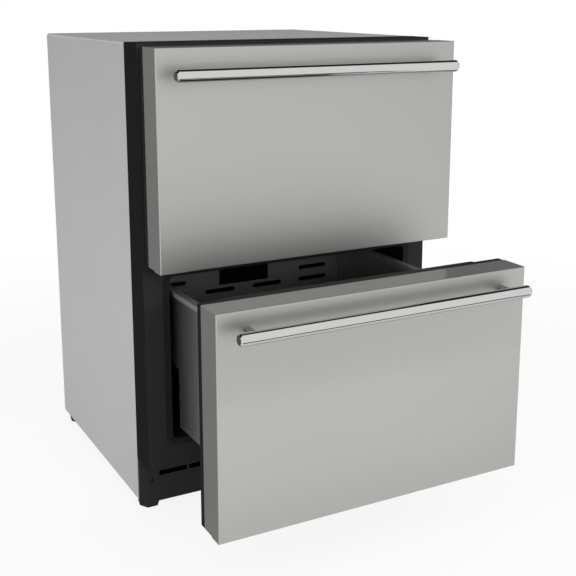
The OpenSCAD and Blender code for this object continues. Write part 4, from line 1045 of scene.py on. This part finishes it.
class FRIDGE_OT_lenses(bpy.types.Operator):
    """Make the two light bars, each a white tray with a ribbed lens"""

    bl_idname = "fridge.lenses"
    bl_label = "Make the light bars"

    def execute(self, context):
        name = "led_bars"
        low, high = corners_of(name)
        half, wide, deep, crown = high.x, 0.006, 0.007, 0.0016
        lip = wide * 0.86
        # section of a bar across its length: the tray's walls and the crowned lens between them
        arc = [(wide * 0.8 * math.cos(a), crown * (math.sin(a) - 1.0)) for a in map(math.radians, range(0, 181, 20))]
        section = [(wide, -deep), (wide, -0.0004), (lip, -0.0004), *arc, (-lip, -0.0004), (-wide, -0.0004),
                   (-wide, -deep)]
        ribs, rib_height = 60, 0.0005
        # one bar hangs under the ceiling, the other faces the rear behind the rail between the drawers
        bars = ((Vector((0, high.y - wide, high.z - deep)), Matrix.Rotation(math.pi, 4, "X")),
                (Vector((0, low.y + deep, low.z + wide)), Matrix.Rotation(-math.pi / 2, 4, "X")))
        shape = bmesh.new()
        for place, turn in bars:
            before = set(shape.verts)
            _, start = joined(shape, [(-half, y, z) for y, z in section])
            line = start
            for i in range(ribs):
                line = carried(shape, line, (2 * half / ribs, 0, 0))
                if 0 < i < ribs - 2:
                    lens = [v for v in verts_of(line) if abs(v.co.y) < wide * 0.79]
                    lift = -rib_height / 2 if i == 1 else (-1) ** i * rib_height
                    bmesh.ops.translate(shape, verts=lens, vec=(0, 0, lift))
            for end in (start, line):
                bmesh.ops.contextual_create(shape, geom=end)
            bmesh.ops.transform(shape, matrix=Matrix.Translation(place) @ turn,
                                verts=[v for v in shape.verts if v not in before])
        settle(shape, 30.0)
        finished("light_bars", shape, body_of[name], slot_of[name], name)
        return {"FINISHED"}


def lamp(name, place, target, watts, size):
    """A soft lamp that mirrors and the camera don't see."""
    light = bpy.data.lights.new(name, "AREA")
    light.energy = watts
    light.shape = "RECTANGLE"
    light.size, light.size_y = size
    bench = bpy.data.objects.new(name, light)
    bpy.context.scene.collection.objects.link(bench)
    bench.location = place
    bench.rotation_euler = (Vector(target) - Vector(place)).to_track_quat("-Z", "Y").to_euler()
    bench.visible_glossy = False
    bench.visible_camera = False


def card(name, line, step, strength):
    """A glowing sheet drawn from a line of points by one step, which only mirrors see."""
    shape = bmesh.new()
    _, edges = joined(shape, line, closed=False)
    carried(shape, edges, step)
    sheet = placed(name, shape)
    board = Board(name + "_felt")
    board.surface(board.node("ShaderNodeEmission", values={"Color": (1.0, 1.0, 1.0), "Strength": strength}))
    coat(sheet, board.material)
    sheet.visible_camera = False
    sheet.visible_diffuse = False
    sheet.visible_transmission = False
    sheet.visible_volume_scatter = False
    sheet.visible_shadow = False


def paint_world(strength):
    """An even light from all sides, and plain white where the camera or a mirror looks past the stage."""
    world = bpy.data.worlds.new("studio")
    bpy.context.scene.world = world
    world.use_nodes = True
    tree = world.node_tree
    tree.nodes.clear()
    path = tree.nodes.new("ShaderNodeLightPath")
    seen = path.outputs["Is Camera Ray"]
    for ray in ("Is Glossy Ray", "Is Transmission Ray"):
        both = tree.nodes.new("ShaderNodeMath")
        both.operation = "MAXIMUM"
        tree.links.new(seen, both.inputs[0])
        tree.links.new(path.outputs[ray], both.inputs[1])
        seen = both.outputs[0]
    mix = tree.nodes.new("ShaderNodeMixShader")
    tree.links.new(seen, mix.inputs[0])
    for socket, level in ((mix.inputs[1], strength), (mix.inputs[2], 1.0)):
        ground = tree.nodes.new("ShaderNodeBackground")
        ground.inputs["Color"].default_value = (1, 1, 1, 1)
        ground.inputs["Strength"].default_value = level
        tree.links.new(ground.outputs[0], socket)
    tree.links.new(mix.outputs[0], tree.nodes.new("ShaderNodeOutputWorld").inputs[0])


def lay_floor(size):
    """A white floor that holds the shadow next to the appliance and glows white farther away."""
    shape = bmesh.new()
    bmesh.ops.create_grid(shape, x_segments=1, y_segments=1, size=size / 2, matrix=Matrix.Translation((0, 0, -0.0004)))
    floor = placed("floor", shape)
    board = Board("floor_paper")
    board.set(Base_Color=(0.86, 0.86, 0.86), Roughness=0.9)
    glow = board.node("ShaderNodeEmission", values={"Color": (1.0, 1.0, 1.0), "Strength": 1.0})
    away = board.node("ShaderNodeVectorMath", {"operation": "LENGTH"}, {0: board.place()}, "Value")
    share = board.seen() * away.between(0.9, 2.2, 0.88, 1.0)
    paper = Signal(board, board.shader.outputs[0])
    board.surface(board.node("ShaderNodeMixShader", values={0: share, 1: paper, 2: glow}))
    coat(floor, board.material)


class FRIDGE_OT_stage(bpy.types.Operator):
    """Set up the floor, the lamps and the camera"""

    bl_idname = "fridge.stage"
    bl_label = "Set the stage"

    def execute(self, context):
        studio = context.scene.fridge_studio
        scene = context.scene
        scene.view_settings.view_transform = "Standard"
        paint_world(studio.sky)
        lay_floor(studio.floor_size)

        # what bare metal mirrors: a dark wall and floor behind it, a darker ceiling, a dark wall to the right, and in
        # front of the drawers a dark strip of floor, which a low white wall hides from the fronts but not from the bars
        left, wide = -studio.card_width / 2, studio.card_width
        edge, near, far, top, lift = studio.card_edge, studio.ceiling_edge, 2.6, 2.9, 0.0006
        card("rear_card", ((left, edge, lift), (left, far, lift), (left, far, top)), (wide, 0, 0), studio.card_tone)
        card("ceiling_card", ((left, far, top), (left, near, top)), (wide, 0, 0), studio.ceiling_tone)
        card("right_card", ((studio.right_card, -far, lift), (studio.right_card, -far, top)), (0, 2 * far, 0),
             studio.card_tone)
        side, front, back = -0.8, studio.strip_near, studio.strip_far
        card("front_strip", ((side, front, lift), (side, back, lift)), (-2 * side, 0, 0), studio.strip_tone)
        # the foot strip is a grey sheet that mirrors see in place of the floor's shadow by the open drawer: painted
        # shadow
        card("foot_strip", ((side, back, lift), (side, -0.54, lift)), (-2 * side, 0, 0), studio.foot_tone)
        card("front_wall", ((side, back, 0.0), (side, back, studio.wall_height)), (studio.wall_length, 0, 0), 1.0)

        lamp("key_lamp", (-1.6, -1.9, 3.2), (0, 0, 0.4), studio.key_power, (2.4, 2.4))
        lamp("fill_lamp", (2.4, -2.6, 1.8), (0, 0, 0.4), studio.fill_power, (2.4, 2.4))
        lamp("front_lamp", (0.1, -3.4, 1.35), (0, 0.15, 0.4), studio.front_power, (1.8, 0.5))
        lamp("side_lamp", (-1.45, 0.25, 0.08), (-0.3, 0.2, 0.1), studio.side_power, (2.0, 0.2))

        eye = bpy.data.cameras.new("camera")
        eye.lens = studio.lens
        eye.sensor_width = 36.0
        eye.shift_y = studio.rise
        eye.clip_end = 60.0
        view = bpy.data.objects.new("camera", eye)
        scene.collection.objects.link(view)
        view.location = studio.camera_place
        view.rotation_euler = (math.radians(90) - studio.camera_pitch, 0.0, -studio.camera_yaw)
        scene.camera = view
        return {"FINISHED"}


class FRIDGE_PT_steps(bpy.types.Panel):
    """Lists the steps in the sidebar"""

    bl_label = "Drawer refrigerator"
    bl_idname = "FRIDGE_PT_steps"
    bl_space_type = "VIEW_3D"
    bl_region_type = "UI"
    bl_category = "Refrigerator"

    def draw(self, context):
        for step in STEPS:
            self.layout.operator(step.bl_idname)


STEPS = (FRIDGE_OT_finishes, FRIDGE_OT_folds, FRIDGE_OT_bar_ends, FRIDGE_OT_gaskets, FRIDGE_OT_feet, FRIDGE_OT_screws,
         FRIDGE_OT_lenses, FRIDGE_OT_guard, FRIDGE_OT_fan_mouth, FRIDGE_OT_compressor_fittings, FRIDGE_OT_pipes,
         FRIDGE_OT_sleeve, FRIDGE_OT_control_box, FRIDGE_OT_stage)
CLASSES = (FridgeColours, FridgeSizes, FridgeStudio, *STEPS, FRIDGE_PT_steps)


def register():
    for cls in CLASSES:
        bpy.utils.register_class(cls)
    bpy.types.Scene.fridge_colours = PointerProperty(type=FridgeColours)
    bpy.types.Scene.fridge_sizes = PointerProperty(type=FridgeSizes)
    bpy.types.Scene.fridge_studio = PointerProperty(type=FridgeStudio)


def unregister():
    del bpy.types.Scene.fridge_studio
    del bpy.types.Scene.fridge_sizes
    del bpy.types.Scene.fridge_colours
    for cls in reversed(CLASSES):
        bpy.utils.unregister_class(cls)


def main():
    register()
    for step in STEPS:
        group, call = step.bl_idname.split(".")
        getattr(getattr(bpy.ops, group), call)()


if __name__ == "__main__":
    main()
